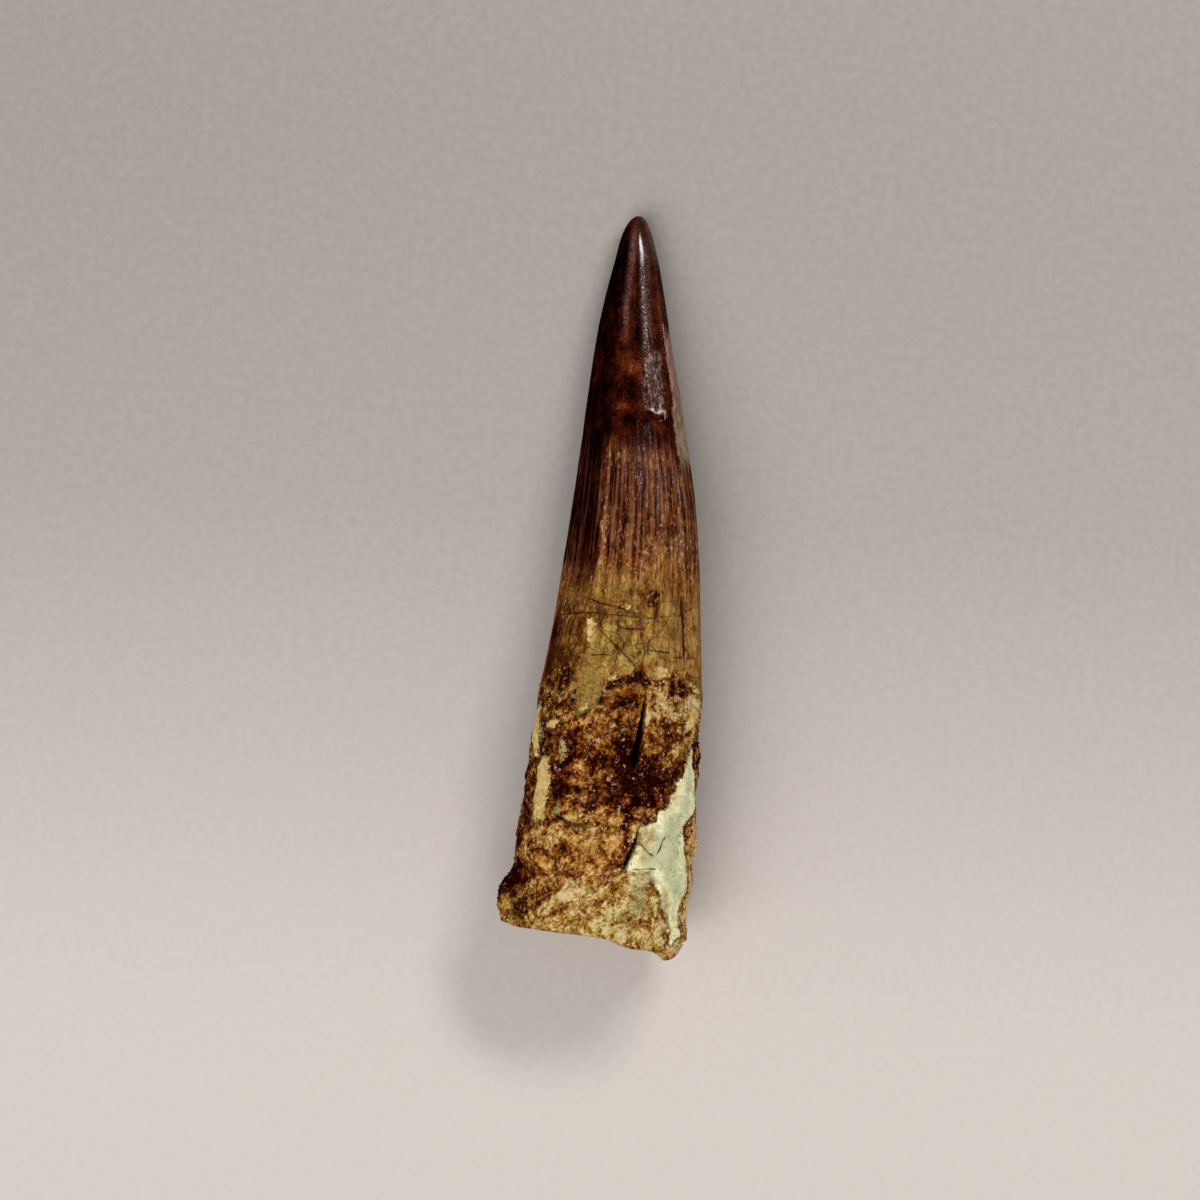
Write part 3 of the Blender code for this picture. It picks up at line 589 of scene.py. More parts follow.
class Skin:
    """The tooth's side as a grid of places, rings by columns, with what each place is made of."""

    def __init__(self):
        """Lays out the smooth cone, and measures what lies where on it."""
        angles = column_angles()
        chip, enamel, end = lines_at(angles)
        self.along = ring_distances(chip, enamel, end)
        self.angle = np.broadcast_to(angles, self.along.shape)
        self.chip, self.enamel = (np.broadcast_to(line, self.along.shape) for line in (chip, enamel))
        self.around = unrolled(self.along, self.angle)
        centre_x, centre_z, half_width, half_thickness = section(self.along)
        a = np.radians(self.angle)
        self.centre = np.stack((centre_x, -self.along, centre_z), -1)
        self.spoke = np.stack((half_width * np.cos(a), np.zeros_like(a), half_thickness * np.sin(a)), -1)
        self.smooth = self.centre + self.spoke
        self.measure()

    def measure(self):
        """Masks and distances that shape and colour both read."""
        along, around = self.along, self.around
        self.in_clay = depth_inside(CLAY_PATCH, along, around)
        self.in_cream = np.max([depth_inside(outline, along, around) for outline in CREAM_PATCHES], axis=0)
        self.in_filling = np.maximum(self.in_clay, self.in_cream)
        self.in_olive = depth_inside(OLIVE_PATCH, along, around)
        self.in_plate = depth_inside(CHIP_PLATE, along, around)
        self.on_enamel = np.minimum(self.enamel - along, 3.0) - soft_patches(DIRT_PATCHES, along, around)
        self.crack_near, self.crack_side = line_distances(FINE_CRACKS, along, around)
        self.scratch_near, _ = line_distances(SCRATCHES_AND_RIM_GLINT, along, around)
        slots = [open_crack(path, along, around) for path in (UPPER_CRACK, LOWER_CRACK)]
        self.in_slot = np.maximum(*slots)

    def relief(self):
        """Height of the surface over the smooth cone, outwards, all but the flutes."""
        along = self.along
        height = keel_relief(along, self.angle) + lump_relief(along, self.angle)
        height -= self.chip_cut()
        swell_height, swell_size = SWELL
        height += swell_height * noise_over(self.smooth, swell_size) * ramp(2.0, 10.0, along)
        height += PLATE_HEIGHT * ramp(-0.1, 0.1, self.in_plate)
        height += (along > self.enamel) * self.crust_relief()
        height -= FINE_CRACK_DEPTH * (1 - ramp(0.0, 0.22, self.crack_near))
        height += self.crack_lip()
        height -= CRACK_DEPTH * ramp(0.0, CRACK_WALL, self.in_slot)
        return height

    def chip_cut(self):
        """How much enamel the chip has taken off, below the chip line on the upper face."""
        right, left = CHIP_ANGLES
        inside = ramp(right - CHIP_SIDES, right, self.angle) * (1 - ramp(left, left + CHIP_SIDES, self.angle))
        fade = 1 - ramp(*CHIP_FADES, self.along - self.chip)
        return (self.along > self.chip) * CHIP_DEPTH * inside * fade

    def crust_relief(self):
        """Height of the root's crust over the enamel: lumps, crumbs and pebbles, and the smooth fillings."""
        a = np.radians(self.angle)
        oval = np.stack((np.cos(a) * CRUST_RADIUS[0], np.sin(a) * CRUST_RADIUS[1], self.along), -1)
        crumb_height, crumb_size = CRUMB
        pebble_height, pebble_size = PEBBLE
        crust = CRUST_DEPTH * noise_over(oval, CRUST_LUMP_SIZE, CRUST_FRACTAL) - ENAMEL_THICKNESS
        pitted = 1 - ramp(-0.3, 0.3, self.in_filling)
        crust += pitted * crumb_height * noise_over(self.smooth, crumb_size, (0.7, 2.1, 2))
        crust += pitted * pebble_height * (pebbles_over(self.smooth, pebble_size) - 0.5)
        return crust + FILLING_HEIGHT * ramp(-0.25, 0.15, self.in_filling)

    def crack_lip(self):
        """Height of the long crack's right lip, which stands proud."""
        to_right = self.around - through(unrolled_path(UPPER_CRACK), self.along)
        lip = np.exp(-(((to_right - LIP_MIDDLE) / LIP_WIDTH) ** 2)) * ramp(63.0, 66.0, self.along)
        return LIP_HEIGHT * lip * (1 - ramp(74.0, 79.0, self.along))

    def places(self):
        """The finished grid of points, in millimetres, with the underside worn flat."""
        reach = np.linalg.norm(self.spoke, axis=-1)
        stretch = np.maximum(1.0 + self.relief() / np.maximum(reach, 0.5), 0.5)
        stretch = np.where(reach > 0.5, stretch, 1.0)
        points = self.centre + self.spoke * stretch[..., None]
        points[..., 2] = np.maximum(points[..., 2], 0.0)
        return points

    def lightness(self):
        """How light the fossil is at each place, from 0 to 1."""
        light = through(LIGHTNESS, self.along) + soft_patches(LIGHT_PATCHES, self.along, self.around)
        light += soft_bands(LIGHT_BANDS, self.along, self.around)
        # painted shade, with the enamel's own darker colour: the crown's left flank is made darker past its edge
        edge = through(unrolled_path(FLANK_SHADE), self.along)
        softness = 0.9 - 0.6 * ramp(24.0, 31.0, self.along)
        flank_shade = ramp(softness, -softness, self.around - edge) * (1 - ramp(200.0, 230.0, self.angle))
        light -= flank_shade * through(FLANK_SHADE, self.along, 2)
        return light + 0.05 * noise_over(self.smooth, 7.0, (0.8, 2.0, 2))

    def shine(self):
        """How polished each place is, from 0 to 1. The left flank is dull."""
        dull = ramp(104.0, 128.0, self.angle) * (1 - ramp(195.0, 225.0, self.angle))
        past_chip = np.exp(-(((self.along - self.chip - 0.2) / 0.7) ** 2))
        polish = through(POLISH, self.along) * (1 - 0.99 * dull) * (1 - 0.8 * past_chip)
        return polish * ramp(-0.4, 0.4, self.on_enamel)

    def facet_sheen(self):
        """The worn facet between the right keel and the tooth's side, from 0 to 1, where a pale strip of painted sheen
        is laid.
        """
        above = ramp(43.0, 32.0, turn_between(self.angle, 0.0)) * (1 - ramp(190.0, 350.0, self.angle))
        inside = above + ramp(340.0, 350.0, self.angle)
        return inside * ramp(11.0, 20.0, self.along) * (1 - ramp(30.0, 37.0, self.along))

    def hollow_shade(self):
        """Height over the surface's own neighbourhood, in millimetres, below 0 in hollows. The crust reads it as
        painted shade in its hollows and painted light on its lumps.
        """
        height = self.relief()
        return np.clip(height - local_mean(height, NEIGHBOURS), -0.3, 0.3)

    def sand_room(self):
        """Where loose grains cling, from 0 to 1."""
        crust = ramp(0.3, -1.0, self.on_enamel) * (1 - ramp(-0.5, 0.0, self.in_filling))
        patchy = ramp(-0.1, 0.4, noise_over(self.smooth + 17.0, 3.5, (0.8, 2.0, 2)))
        clear = ramp(0.8, 2.0, self.smooth[..., 2]) * (1 - ramp(-0.3, 0.0, self.in_slot))
        return crust * clear * (0.06 + 0.94 * patchy)

    def rust(self):
        """How rusty (above 0) or olive (below 0) the fossil is at each place."""
        rusty = soft_patches(RUST_PATCHES, self.along, self.around)
        return rusty + 0.4 * noise_over(self.smooth + 40.0, 6.0, (0.8, 2.0, 2))

    def streak_space(self):
        """Coordinates in which the flutes run straight: a cylinder as wide as the tooth's middle."""
        a = np.radians(self.angle)
        radius = STREAK_RADIUS
        return np.stack((radius * np.cos(a), radius * np.sin(a), self.along / STREAK_STRETCH), -1)

    def flute_room(self):
        """Where the flutes stand, from 0 to 1."""
        shown = ramp(27.5, 35.0, self.along) * (1 - ramp(48.0, 58.0, self.along))
        clear = 1 - ramp(-0.2, 0.2, np.maximum(self.in_plate, self.in_cream))
        off_table = ramp(0.0, 1.2, self.smooth[..., 2])
        return shown * clear * off_table * (self.along < self.enamel)


def end_grid(edge):
    """Rings of points across the broken lower end, from near its edge to its middle, and that middle."""
    centre_x, centre_z, half_width, half_thickness = section(END_SECTION)
    middle = np.array((float(centre_x), -END_MIDDLE, float(centre_z)))
    outward = edge - middle
    a = np.arctan2(outward[:, 2] / half_thickness, outward[:, 0] / half_width)
    oval = np.stack((half_width * np.cos(a), np.zeros_like(a), half_thickness * np.sin(a)), -1)
    rings = []
    for k in range(1, END_RINGS):
        share = 1.0 - k / END_RINGS
        ring = middle + oval * share
        near_edge = ramp(0.8, 1.0, np.full_like(a, share))[:, None]
        ring = ring * (1 - near_edge) + (middle + outward * share) * near_edge
        ring[:, 1] = middle[1] + outward[:, 1] * share**3
        rough = END_ROUGHNESS * noise_over(ring, END_LUMP_SIZE, CRUST_FRACTAL)
        rough += 0.5 * noise_over(ring, 1.4, (0.8, 2.1, 2))
        ring[:, 1] += rough * (1 - share**4)
        rings.append(ring)
    return np.array(rings), middle


def skin_mesh(skin):
    """The tooth's closed mesh, in metres, with its attributes."""
    side = skin.places()
    ends, middle = end_grid(side[-1])
    _, tip_height, _, _ = section(0.0)
    low, high = cad_box
    shift = np.array((0.0, high.y / MM, 0.0))
    shift[0] = (low.x + high.x) / 2 / MM - (side[..., 0].min() + side[..., 0].max()) / 2
    grid = np.concatenate((side, ends))
    points = np.concatenate((grid.reshape(-1, 3), [(0.0, 0.0, float(tip_height))], [middle])) + shift
    rows, columns = grid.shape[:2]
    index = np.arange(rows * columns).reshape(rows, columns)
    following = np.roll(index, -1, axis=1)
    quads = np.stack((index[:-1], following[:-1], following[1:], index[1:]), -1).reshape(-1, 4)
    tip, end = rows * columns, rows * columns + 1
    faces = quads.tolist()
    faces += [(tip, following[0][k], index[0][k]) for k in range(columns)]
    faces += [(end, index[-1][k], following[-1][k]) for k in range(columns)]
    mesh = bpy.data.meshes.new("tooth_skin")
    mesh.from_pydata((points * MM).tolist(), [], faces)
    mesh.shade_smooth()
    keep_masks(mesh, skin, len(ends))
    return mesh


def keep_masks(mesh, skin, end_count):
    """Keeps what each place is made of on the mesh's points. Over the broken end the last ring's values fade to
    those of its middle."""
    masks = {
        "distance": (skin.along, 99.0),
        "turn": (skin.angle / 360.0, 0.0),
        "flute_room": (skin.flute_room(), 0.0),
        "lightness": (skin.lightness(), 0.42),
        "rust": (skin.rust(), 0.2),
        "shine": (skin.shine(), 0.0),
        "facet_sheen": (skin.facet_sheen(), 0.0),
        "hollow_shade": (skin.hollow_shade(), 0.0),
        "sand_room": (skin.sand_room(), 0.3),
        "sheen": (soft_bands(PAINTED_SHEEN_BANDS, skin.along, skin.around), 0.0),
        "on_enamel": (skin.on_enamel, -30.0),
    }
    for name, (patches, middle) in SOFT_PATCHES.items():
        masks[name] = (soft_patches(patches, skin.along, skin.around), middle)
    for name in ("in_clay", "in_cream", "in_olive", "in_plate", "in_slot"):
        masks[name] = (getattr(skin, name), -9.0)
    for name in ("crack_near", "crack_side", "scratch_near"):
        masks[name] = (getattr(skin, name), 1.0)
    inwards = np.arange(1, end_count + 1)[:, None] / (end_count + 1)
    for name, (values, middle) in masks.items():
        end = values[-1:] * (1 - inwards) + middle * inwards
        filled = np.concatenate((values, end)).reshape(-1)
        filled = np.concatenate((filled, [values[0].mean(), middle]))
        mesh.attributes.new(name, "FLOAT", "POINT").data.foreach_set("value", filled.astype(np.float32))
    streaks = skin.streak_space()
    filled = np.concatenate((streaks, np.repeat(streaks[-1:], end_count, axis=0))).reshape(-1, 3)
    filled = np.concatenate((filled, [(0.0, 0.0, 0.0)], [(0.0, 0.0, 12.0)]))
    place = mesh.attributes.new("streak_space", "FLOAT_VECTOR", "POINT")
    place.data.foreach_set("vector", filled.astype(np.float32).reshape(-1))


class Wires:
    """Adds nodes to one tree and links them. A value may be a number, a colour or another node's output."""

    def __init__(self, tree):
        self.tree = tree

    def feed(self, socket, value):
        if isinstance(value, bpy.types.NodeSocket):
            self.tree.links.new(value, socket)
        elif value is not None:
            socket.default_value = value

    def add(self, kind, inputs=None, **settings):
        node = self.tree.nodes.new(kind)
        for name, value in settings.items():
            setattr(node, name, value)
        for name, value in (inputs or {}).items():
            socket = next(s for s in node.inputs if s.name == name and s.enabled)
            self.feed(socket, value)
        return node

    def math(self, operation, *values):
        node = self.tree.nodes.new("ShaderNodeMath")
        node.operation = operation
        for socket, value in zip(node.inputs, values):
            self.feed(socket, value)
        return node.outputs[0]

    def plus(self, *values):
        total = values[0]
        for value in values[1:]:
            total = self.math("ADD", total, value)
        return total

    def times(self, *values):
        product = values[0]
        for value in values[1:]:
            product = self.math("MULTIPLY", product, value)
        return product

    def rest_of(self, share):
        """What a share between 0 and 1 leaves."""
        return self.math("SUBTRACT", 1.0, share)

    def swing(self, value, reach):
        """Turns a value between 0 and 1 into one between half the reach below 0 and half above it."""
        return self.times(self.math("SUBTRACT", value, 0.5), reach)

    def rise(self, value, start, end, low=0.0, high=1.0):
        """A smooth rise from low to high while the value goes from start to end."""
        node = self.add("ShaderNodeMapRange", interpolation_type="SMOOTHSTEP")
        for socket, given in zip(node.inputs, (value, start, end, low, high)):
            self.feed(socket, given)
        return node.outputs[0]

    def blend(self, share, first, second, blend_type="MIX"):
        node = self.add("ShaderNodeMix", data_type="RGBA", blend_type=blend_type)
        self.feed(node.inputs[0], share)
        self.feed(node.inputs[6], first)
        self.feed(node.inputs[7], second)
        return node.outputs[2]

    def ramp(self, value, stops):
        node = self.add("ShaderNodeValToRGB", {"Fac": value})
        colours = node.color_ramp.elements
        while len(colours) < len(stops):
            colours.new(0.5)
        for element, (place, colour) in zip(colours, stops):
            element.position = place
            element.color = colour
        return node.outputs["Color"]

    def noise(self, vector, scale, detail=2.0, roughness=0.5, distortion=0.0):
        inputs = {
            "Vector": vector,
            "Scale": scale,
            "Detail": detail,
            "Roughness": roughness,
            "Distortion": distortion,
        }
        return self.add("ShaderNodeTexNoise", inputs).outputs[0]

    def cells(self, vector, scale, feature="F1"):
        return self.add("ShaderNodeTexVoronoi", {"Vector": vector, "Scale": scale}, feature=feature)

    def mask(self, name):
        return self.add("ShaderNodeAttribute", attribute_name=name).outputs["Fac"]

    def stretch(self, vector, scale, turn=0.0):
        """The same place with its axes stretched, after a turn about the upright axis in degrees."""
        turned = vector
        if turn:
            turned = self.add("ShaderNodeMapping", {"Vector": vector, "Rotation": (0.0, 0.0, math.radians(turn))})
            turned = turned.outputs[0]
        return self.add("ShaderNodeMapping", {"Vector": turned, "Scale": scale}).outputs[0]


def paint(red, green, blue):
    """A colour from its screen values, 0 to 255, as the shader wants it."""
    screen = np.array((red, green, blue)) / 255.0
    linear = np.where(screen > 0.04045, ((screen + 0.055) / 1.055) ** 2.4, screen / 12.92)
    return (*linear.tolist(), 1.0)


def new_group(name, inputs, outputs):
    """A shader node group with those named inputs and outputs, and the wires, inlets and outlets to fill it."""
    tree = bpy.data.node_groups.new(name, "ShaderNodeTree")
    for socket, kind, default in inputs:
        made = tree.interface.new_socket(socket, in_out="INPUT", socket_type=kind)
        if default is not None:
            made.default_value = default
    for socket, kind in outputs:
        tree.interface.new_socket(socket, in_out="OUTPUT", socket_type=kind)
    wires = Wires(tree)
    return tree, wires, wires.add("NodeGroupInput").outputs, wires.add("NodeGroupOutput").inputs


def ragged_edge_group():
    """Turns a depth inside a patch into a mask with a ragged, crumbling edge."""
    inputs = (
        ("Depth", "NodeSocketFloat", 0.0),
        ("Place", "NodeSocketVector", None),
        ("Raggedness", "NodeSocketFloat", 0.3),
        ("Fineness", "NodeSocketFloat", 1.0),
        ("Softness", "NodeSocketFloat", 0.08),
    )
    tree, wires, given, out = new_group("ragged edge", inputs, (("Mask", "NodeSocketFloat"),))
    swing = wires.math("SUBTRACT", wires.noise(given["Place"], given["Fineness"], 6.0, 0.68), 0.5)
    depth = wires.plus(given["Depth"], wires.times(swing, given["Raggedness"], 4.0))
    low = wires.times(given["Softness"], -1.0)
    wires.feed(out["Mask"], wires.rise(depth, low, given["Softness"]))
    return tree


def grain_group():
    """Packed mineral grains: a tone of its own for each, its height and the dark gaps between them."""
    inputs = (("Place", "NodeSocketVector", None), ("Grains per mm", "NodeSocketFloat", 2.0))
    outputs = (("Tone", "NodeSocketFloat"), ("Height", "NodeSocketFloat"), ("Gap", "NodeSocketFloat"))
    tree, wires, given, out = new_group("crust grain", inputs, outputs)
    bend = wires.add("ShaderNodeTexNoise", {"Vector": given["Place"], "Scale": 3.0, "Detail": 3.0}).outputs["Color"]
    shift = wires.add("ShaderNodeVectorMath", operation="MULTIPLY_ADD")
    wires.feed(shift.inputs[0], bend)
    shift.inputs[1].default_value = (0.7, 0.7, 0.7)
    wires.feed(shift.inputs[2], given["Place"])
    cells = wires.cells(shift.outputs[0], given["Grains per mm"])
    tone = wires.add("ShaderNodeSeparateColor", {"Color": cells.outputs["Color"]}).outputs[0]
    wires.feed(out["Tone"], tone)
    wires.feed(out["Height"], wires.math("SUBTRACT", 1.0, cells.outputs["Distance"]))
    wires.feed(out["Gap"], wires.rise(cells.outputs["Distance"], 0.4, 0.75))
    return tree


def streak_group():
    """Fine straight streaks along the flutes: a broad set and a thin set."""
    inputs = (("Flute place", "NodeSocketVector", None), ("Streaks per mm", "NodeSocketFloat", 1.5))
    outputs = (("Broad", "NodeSocketFloat"), ("Thin", "NodeSocketFloat"))
    tree, wires, given, out = new_group("flute streaks", inputs, outputs)
    broad = wires.noise(given["Flute place"], given["Streaks per mm"], 2.0, 0.5)
    finer = wires.times(given["Streaks per mm"], 2.7)
    thin = wires.noise(wires.stretch(given["Flute place"], (1.0, 1.0, 1.3)), finer, 3.0, 0.6)
    wires.feed(out["Broad"], wires.rise(broad, 0.32, 0.68))
    wires.feed(out["Thin"], wires.rise(thin, 0.32, 0.68))
    return tree


def crack_line_group():
    """A thin ragged line where the signed distance to a crack passes 0."""
    inputs = (
        ("Side", "NodeSocketFloat", 1.0),
        ("Near", "NodeSocketFloat", 1.0),
        ("Place", "NodeSocketVector", None),
        ("Half width", "NodeSocketFloat", 0.08),
    )
    outputs = (("Mask", "NodeSocketFloat"), ("Stain", "NodeSocketFloat"))
    tree, wires, given, out = new_group("crack line", inputs, outputs)
    swing = wires.math("SUBTRACT", wires.noise(given["Place"], 1.6, 4.0, 0.65), 0.5)
    away = wires.math("ABSOLUTE", wires.plus(given["Side"], wires.times(swing, 0.42)))
    width = wires.times(given["Half width"], wires.rise(wires.noise(given["Place"], 0.9, 2.0), 0.3, 0.6, 0.55, 1.3))
    line = wires.rise(away, wires.times(width, 0.4), wires.times(width, 1.5), 1.0, 0.0)
    faint = wires.rise(wires.noise(given["Place"], 0.6, 2.0), 0.35, 0.6, 0.55, 1.0)
    close = wires.rise(given["Near"], 0.42, 0.6, 1.0, 0.0)
    wires.feed(out["Mask"], wires.times(line, faint, close))
    wires.feed(out["Stain"], wires.times(wires.rise(away, 0.0, 0.4, 1.0, 0.0), faint, close))
    return tree


FOSSIL_STOPS = (
    (0.0, paint(7, 1, 1)),
    (0.12, paint(38, 7, 3)),
    (0.25, paint(74, 25, 10)),
    (0.40, paint(114, 58, 18)),
    (0.55, paint(153, 98, 35)),
    (0.70, paint(188, 140, 66)),
    (0.85, paint(217, 180, 108)),
    (1.0, paint(238, 214, 164)),
)


def fossil_colour_group():
    """The fossil's colour from how light and how rusty it is."""
    inputs = (("Lightness", "NodeSocketFloat", 0.5), ("Rust", "NodeSocketFloat", 0.0))
    tree, wires, given, out = new_group("fossil colour", inputs, (("Color", "NodeSocketColor"),))
    plain = wires.ramp(given["Lightness"], FOSSIL_STOPS)
    rusty = wires.blend(1.0, plain, paint(255, 208, 130), "MULTIPLY")
    olive = wires.blend(1.0, plain, paint(234, 250, 214), "MULTIPLY")
    towards_rust = wires.rise(given["Rust"], 0.0, 1.0)
    towards_olive = wires.rise(given["Rust"], 0.0, -1.0)
    wires.feed(out["Color"], wires.blend(towards_olive, wires.blend(towards_rust, plain, rusty), olive))
    return tree


def build_groups():
    return {
        "edge": ragged_edge_group(),
        "grain": grain_group(),
        "streaks": streak_group(),
        "crack": crack_line_group(),
        "colour": fossil_colour_group(),
    }


def use(wires, tree, **inputs):
    """Places a node group in a material."""
    node = wires.tree.nodes.new("ShaderNodeGroup")
    node.node_tree = tree
    for name, value in inputs.items():
        wires.feed(node.inputs[name.replace("_", " ")], value)
    return node.outputs


def patch_masks(wires, groups, place):
    """How much of each patch lies at a place, from 0 to 1, with ragged edges."""
    edges = {
        "enamel": ("on_enamel", 0.9, 1.3, 0.12),
        "clay": ("in_clay", 1.1, 0.6, 0.22),
        "cream": ("in_cream", 0.55, 1.9, 0.10),
        "olive": ("in_olive", 1.6, 0.7, 0.60),
        "plate": ("in_plate", 0.8, 1.5, 0.22),
    }
    masks = {}
    for name, (depth, raggedness, fineness, softness) in edges.items():
        mask = use(
            wires,
            groups["edge"],
            Depth=wires.mask(depth),
            Place=place,
            Raggedness=raggedness,
            Fineness=fineness,
            Softness=softness,
        )
        masks[name] = mask["Mask"]
    crumbled = wires.rise(wires.noise(place, 1.7, 5.0, 0.72), 0.36, 0.50, 0.1, 1.0)
    whole = wires.rise(wires.mask("in_cream"), 0.0, 0.35)
    masks["cream"] = wires.times(masks["cream"], wires.math("MAXIMUM", crumbled, whole))
    return masks


def bent(wires, place, reach):
    """The same place, pushed about by noise."""
    push = wires.add("ShaderNodeTexNoise", {"Vector": place, "Scale": 0.9, "Detail": 4.0}).outputs["Color"]
    shift = wires.add("ShaderNodeVectorMath", operation="MULTIPLY_ADD")
    wires.feed(shift.inputs[0], push)
    shift.inputs[1].default_value = (reach, reach, reach)
    wires.feed(shift.inputs[2], place)
    return shift.outputs[0]


def enamel_tone(wires, place, streaks, fluted):
    """How the enamel's lightness varies: streaks along the flutes, painted shade in their grooves, and mottles above
    them.
    """
    # painted shade: the grooves between the flutes are darker, broken along their length
    groove_shade = wires.math("POWER", wires.rest_of(wires.mask("crest")), 1.6)
    broken = wires.rise(wires.noise(wires.stretch(place, (1.0, 0.25, 1.0)), 1.1, 3.0, 0.65), 0.42, 0.58, 0.35, 1.6)
    lines = wires.plus(
        wires.swing(streaks["Broad"], 0.17),
        wires.swing(streaks["Thin"], 0.08),
        wires.times(groove_shade, broken, -0.23),
        wires.swing(wires.noise(wires.stretch(place, (1.0, 0.5, 1.0)), 2.2, 4.0, 0.7), 0.42),
        0.06,
    )
    mottles = wires.swing(wires.noise(wires.stretch(place, (1.0, 0.4, 1.0)), 0.9, 5.0, 0.65), 0.5)
    mottles = wires.times(mottles, wires.rest_of(fluted), wires.rise(wires.mask("distance"), 30.0, 54.0, 1.1, 2.3))
    return wires.plus(
        wires.times(lines, fluted),
        mottles,
        wires.swing(wires.noise(place, 0.5, 3.0, 0.6), 0.35),
        wires.times(
            wires.swing(wires.noise(place, 4.4, 3.0, 0.7), 0.42),
            wires.rise(wires.mask("distance"), 26.0, 34.0, 1.9, 1.0),
        ),
    )


def enamel_flecks(wires, place, colour, enamel):
    """The enamel's colour with crisp flecks along its flutes: dark ones, and light ones where it is pale."""
    long_place = wires.stretch(place, (1.0, 0.3, 1.0))
    chalky = wires.rise(wires.noise(place, 0.7, 5.0, 0.7), 0.42, 0.62, 0.1, 0.5)
    light_part = wires.rise(wires.mask("lightness"), 0.44, 0.56)
    faded = wires.times(chalky, enamel, wires.rise(wires.mask("distance"), 47.0, 53.0), light_part)
    colour = wires.blend(faded, colour, paint(152, 122, 74))
    pale = wires.times(wires.rise(wires.mask("distance"), 29.0, 40.0), wires.rise(wires.mask("lightness"), 0.2, 0.42))
    patchy = wires.rise(wires.noise(place, 0.34, 4.0, 0.6), 0.40, 0.62, -0.05, 0.05)
    dark = wires.rise(wires.plus(wires.noise(long_place, 1.7, 6.0, 0.76), patchy), 0.56, 0.61)
    dark = wires.times(dark, enamel, wires.rise(wires.mask("distance"), 28.0, 46.0, 0.45, 0.8))
    colour = wires.blend(dark, colour, paint(54, 25, 9))
    fine_place = wires.stretch(place, (1.0, 0.5, 1.0))
    light = wires.rise(wires.plus(wires.noise(fine_place, 3.1, 4.0, 0.75), wires.times(patchy, -1.0)), 0.58, 0.66)
    return wires.blend(wires.times(light, enamel, pale, 0.6), colour, paint(200, 172, 116))


def crust_tone(wires, place, grain, dust):
    """How the crust's lightness varies: clumps, mottles, grains and fine slanting scratches, with painted shade in its
    hollows and painted light on its lumps.
    """
    hatching = wires.noise(wires.stretch(place, (1.0, 0.14, 1.0), 48.0), 4.2, 2.0, 0.6)
    hatched = wires.rise(wires.mask("distance"), 68.0, 92.0, 0.4, 1.0)
    fine = wires.plus(
        wires.swing(wires.rise(wires.noise(place, 1.1, 6.0, 0.70), 0.40, 0.62), 0.38),
        wires.swing(grain["Tone"], 0.24),
        wires.swing(dust["Tone"], 0.16),
        wires.times(grain["Gap"], -0.08),
        wires.times(wires.swing(hatching, 0.8), hatched),
    )
    return wires.plus(
        wires.swing(wires.noise(place, 0.36, 3.0, 0.6), 0.90),
        wires.swing(wires.rise(wires.noise(bent(wires, place, 1.2), 0.55, 6.0, 0.66), 0.44, 0.54), 0.30),
        wires.times(fine, wires.rest_of(wires.mask("calm"))),
        # painted shade in the crust's hollows and painted light on its lumps
        wires.times(wires.mask("hollow_shade"), 0.7),
    )


DIRT_STOPS = ((0.38, paint(112, 82, 40)), (0.5, paint(168, 138, 82)), (0.62, paint(218, 200, 148)))


def clay_colour(wires, place):
    """Pale clay, yellower at its edges and greyer in the middle, with fine dark specks."""
    stain = wires.swing(wires.noise(place, 0.45, 6.0, 0.72), 8.0)
    depth = wires.plus(wires.mask("in_clay"), stain, wires.swing(wires.noise(place, 2.2, 4.0, 0.7), 3.0))
    colour = wires.ramp(
        wires.rise(depth, -1.2, 2.8),
        (
            (0.0, paint(190, 158, 92)),
            (0.20, paint(246, 235, 176)),
            (0.50, paint(253, 251, 202)),
            (1.0, paint(206, 207, 164)),
        ),
    )
    speck = wires.rise(wires.noise(place, 3.4, 4.0, 0.75), 0.52, 0.66)
    colour = wires.blend(wires.times(speck, 0.5), colour, paint(146, 136, 92))
    cloud = wires.rise(wires.noise(place, 0.8, 6.0, 0.7), 0.50, 0.62)
    colour = wires.blend(wires.times(cloud, 0.36), colour, paint(164, 154, 106))
    dirt = wires.plus(wires.mask("stain"), wires.swing(wires.noise(place, 1.1, 6.0, 0.75), 1.6))
    dirt = wires.times(wires.rise(dirt, 0.24, 0.9), wires.rise(wires.mask("stain"), 0.04, 0.3))
    dirt_tone = wires.ramp(wires.noise(place, 2.2, 5.0, 0.78), DIRT_STOPS)
    colour = wires.blend(wires.times(dirt, 0.8), colour, dirt_tone)
    cells = wires.cells(bent(wires, place, 3.0), 0.3, "DISTANCE_TO_EDGE").outputs["Distance"]
    split = wires.times(wires.rise(cells, 0.004, 0.03, 1.0, 0.0), wires.rise(wires.noise(place, 0.4, 3.0), 0.42, 0.56))
    return wires.blend(wires.times(split, 0.55), colour, paint(96, 78, 44))


def cream_colour(wires, place):
    return wires.ramp(
        wires.noise(place, 1.5, 5.0, 0.7),
        ((0.3, paint(150, 108, 54)), (0.44, paint(204, 168, 98)), (0.6, paint(226, 198, 134)), (0.8, paint(240, 222, 176))),
    )


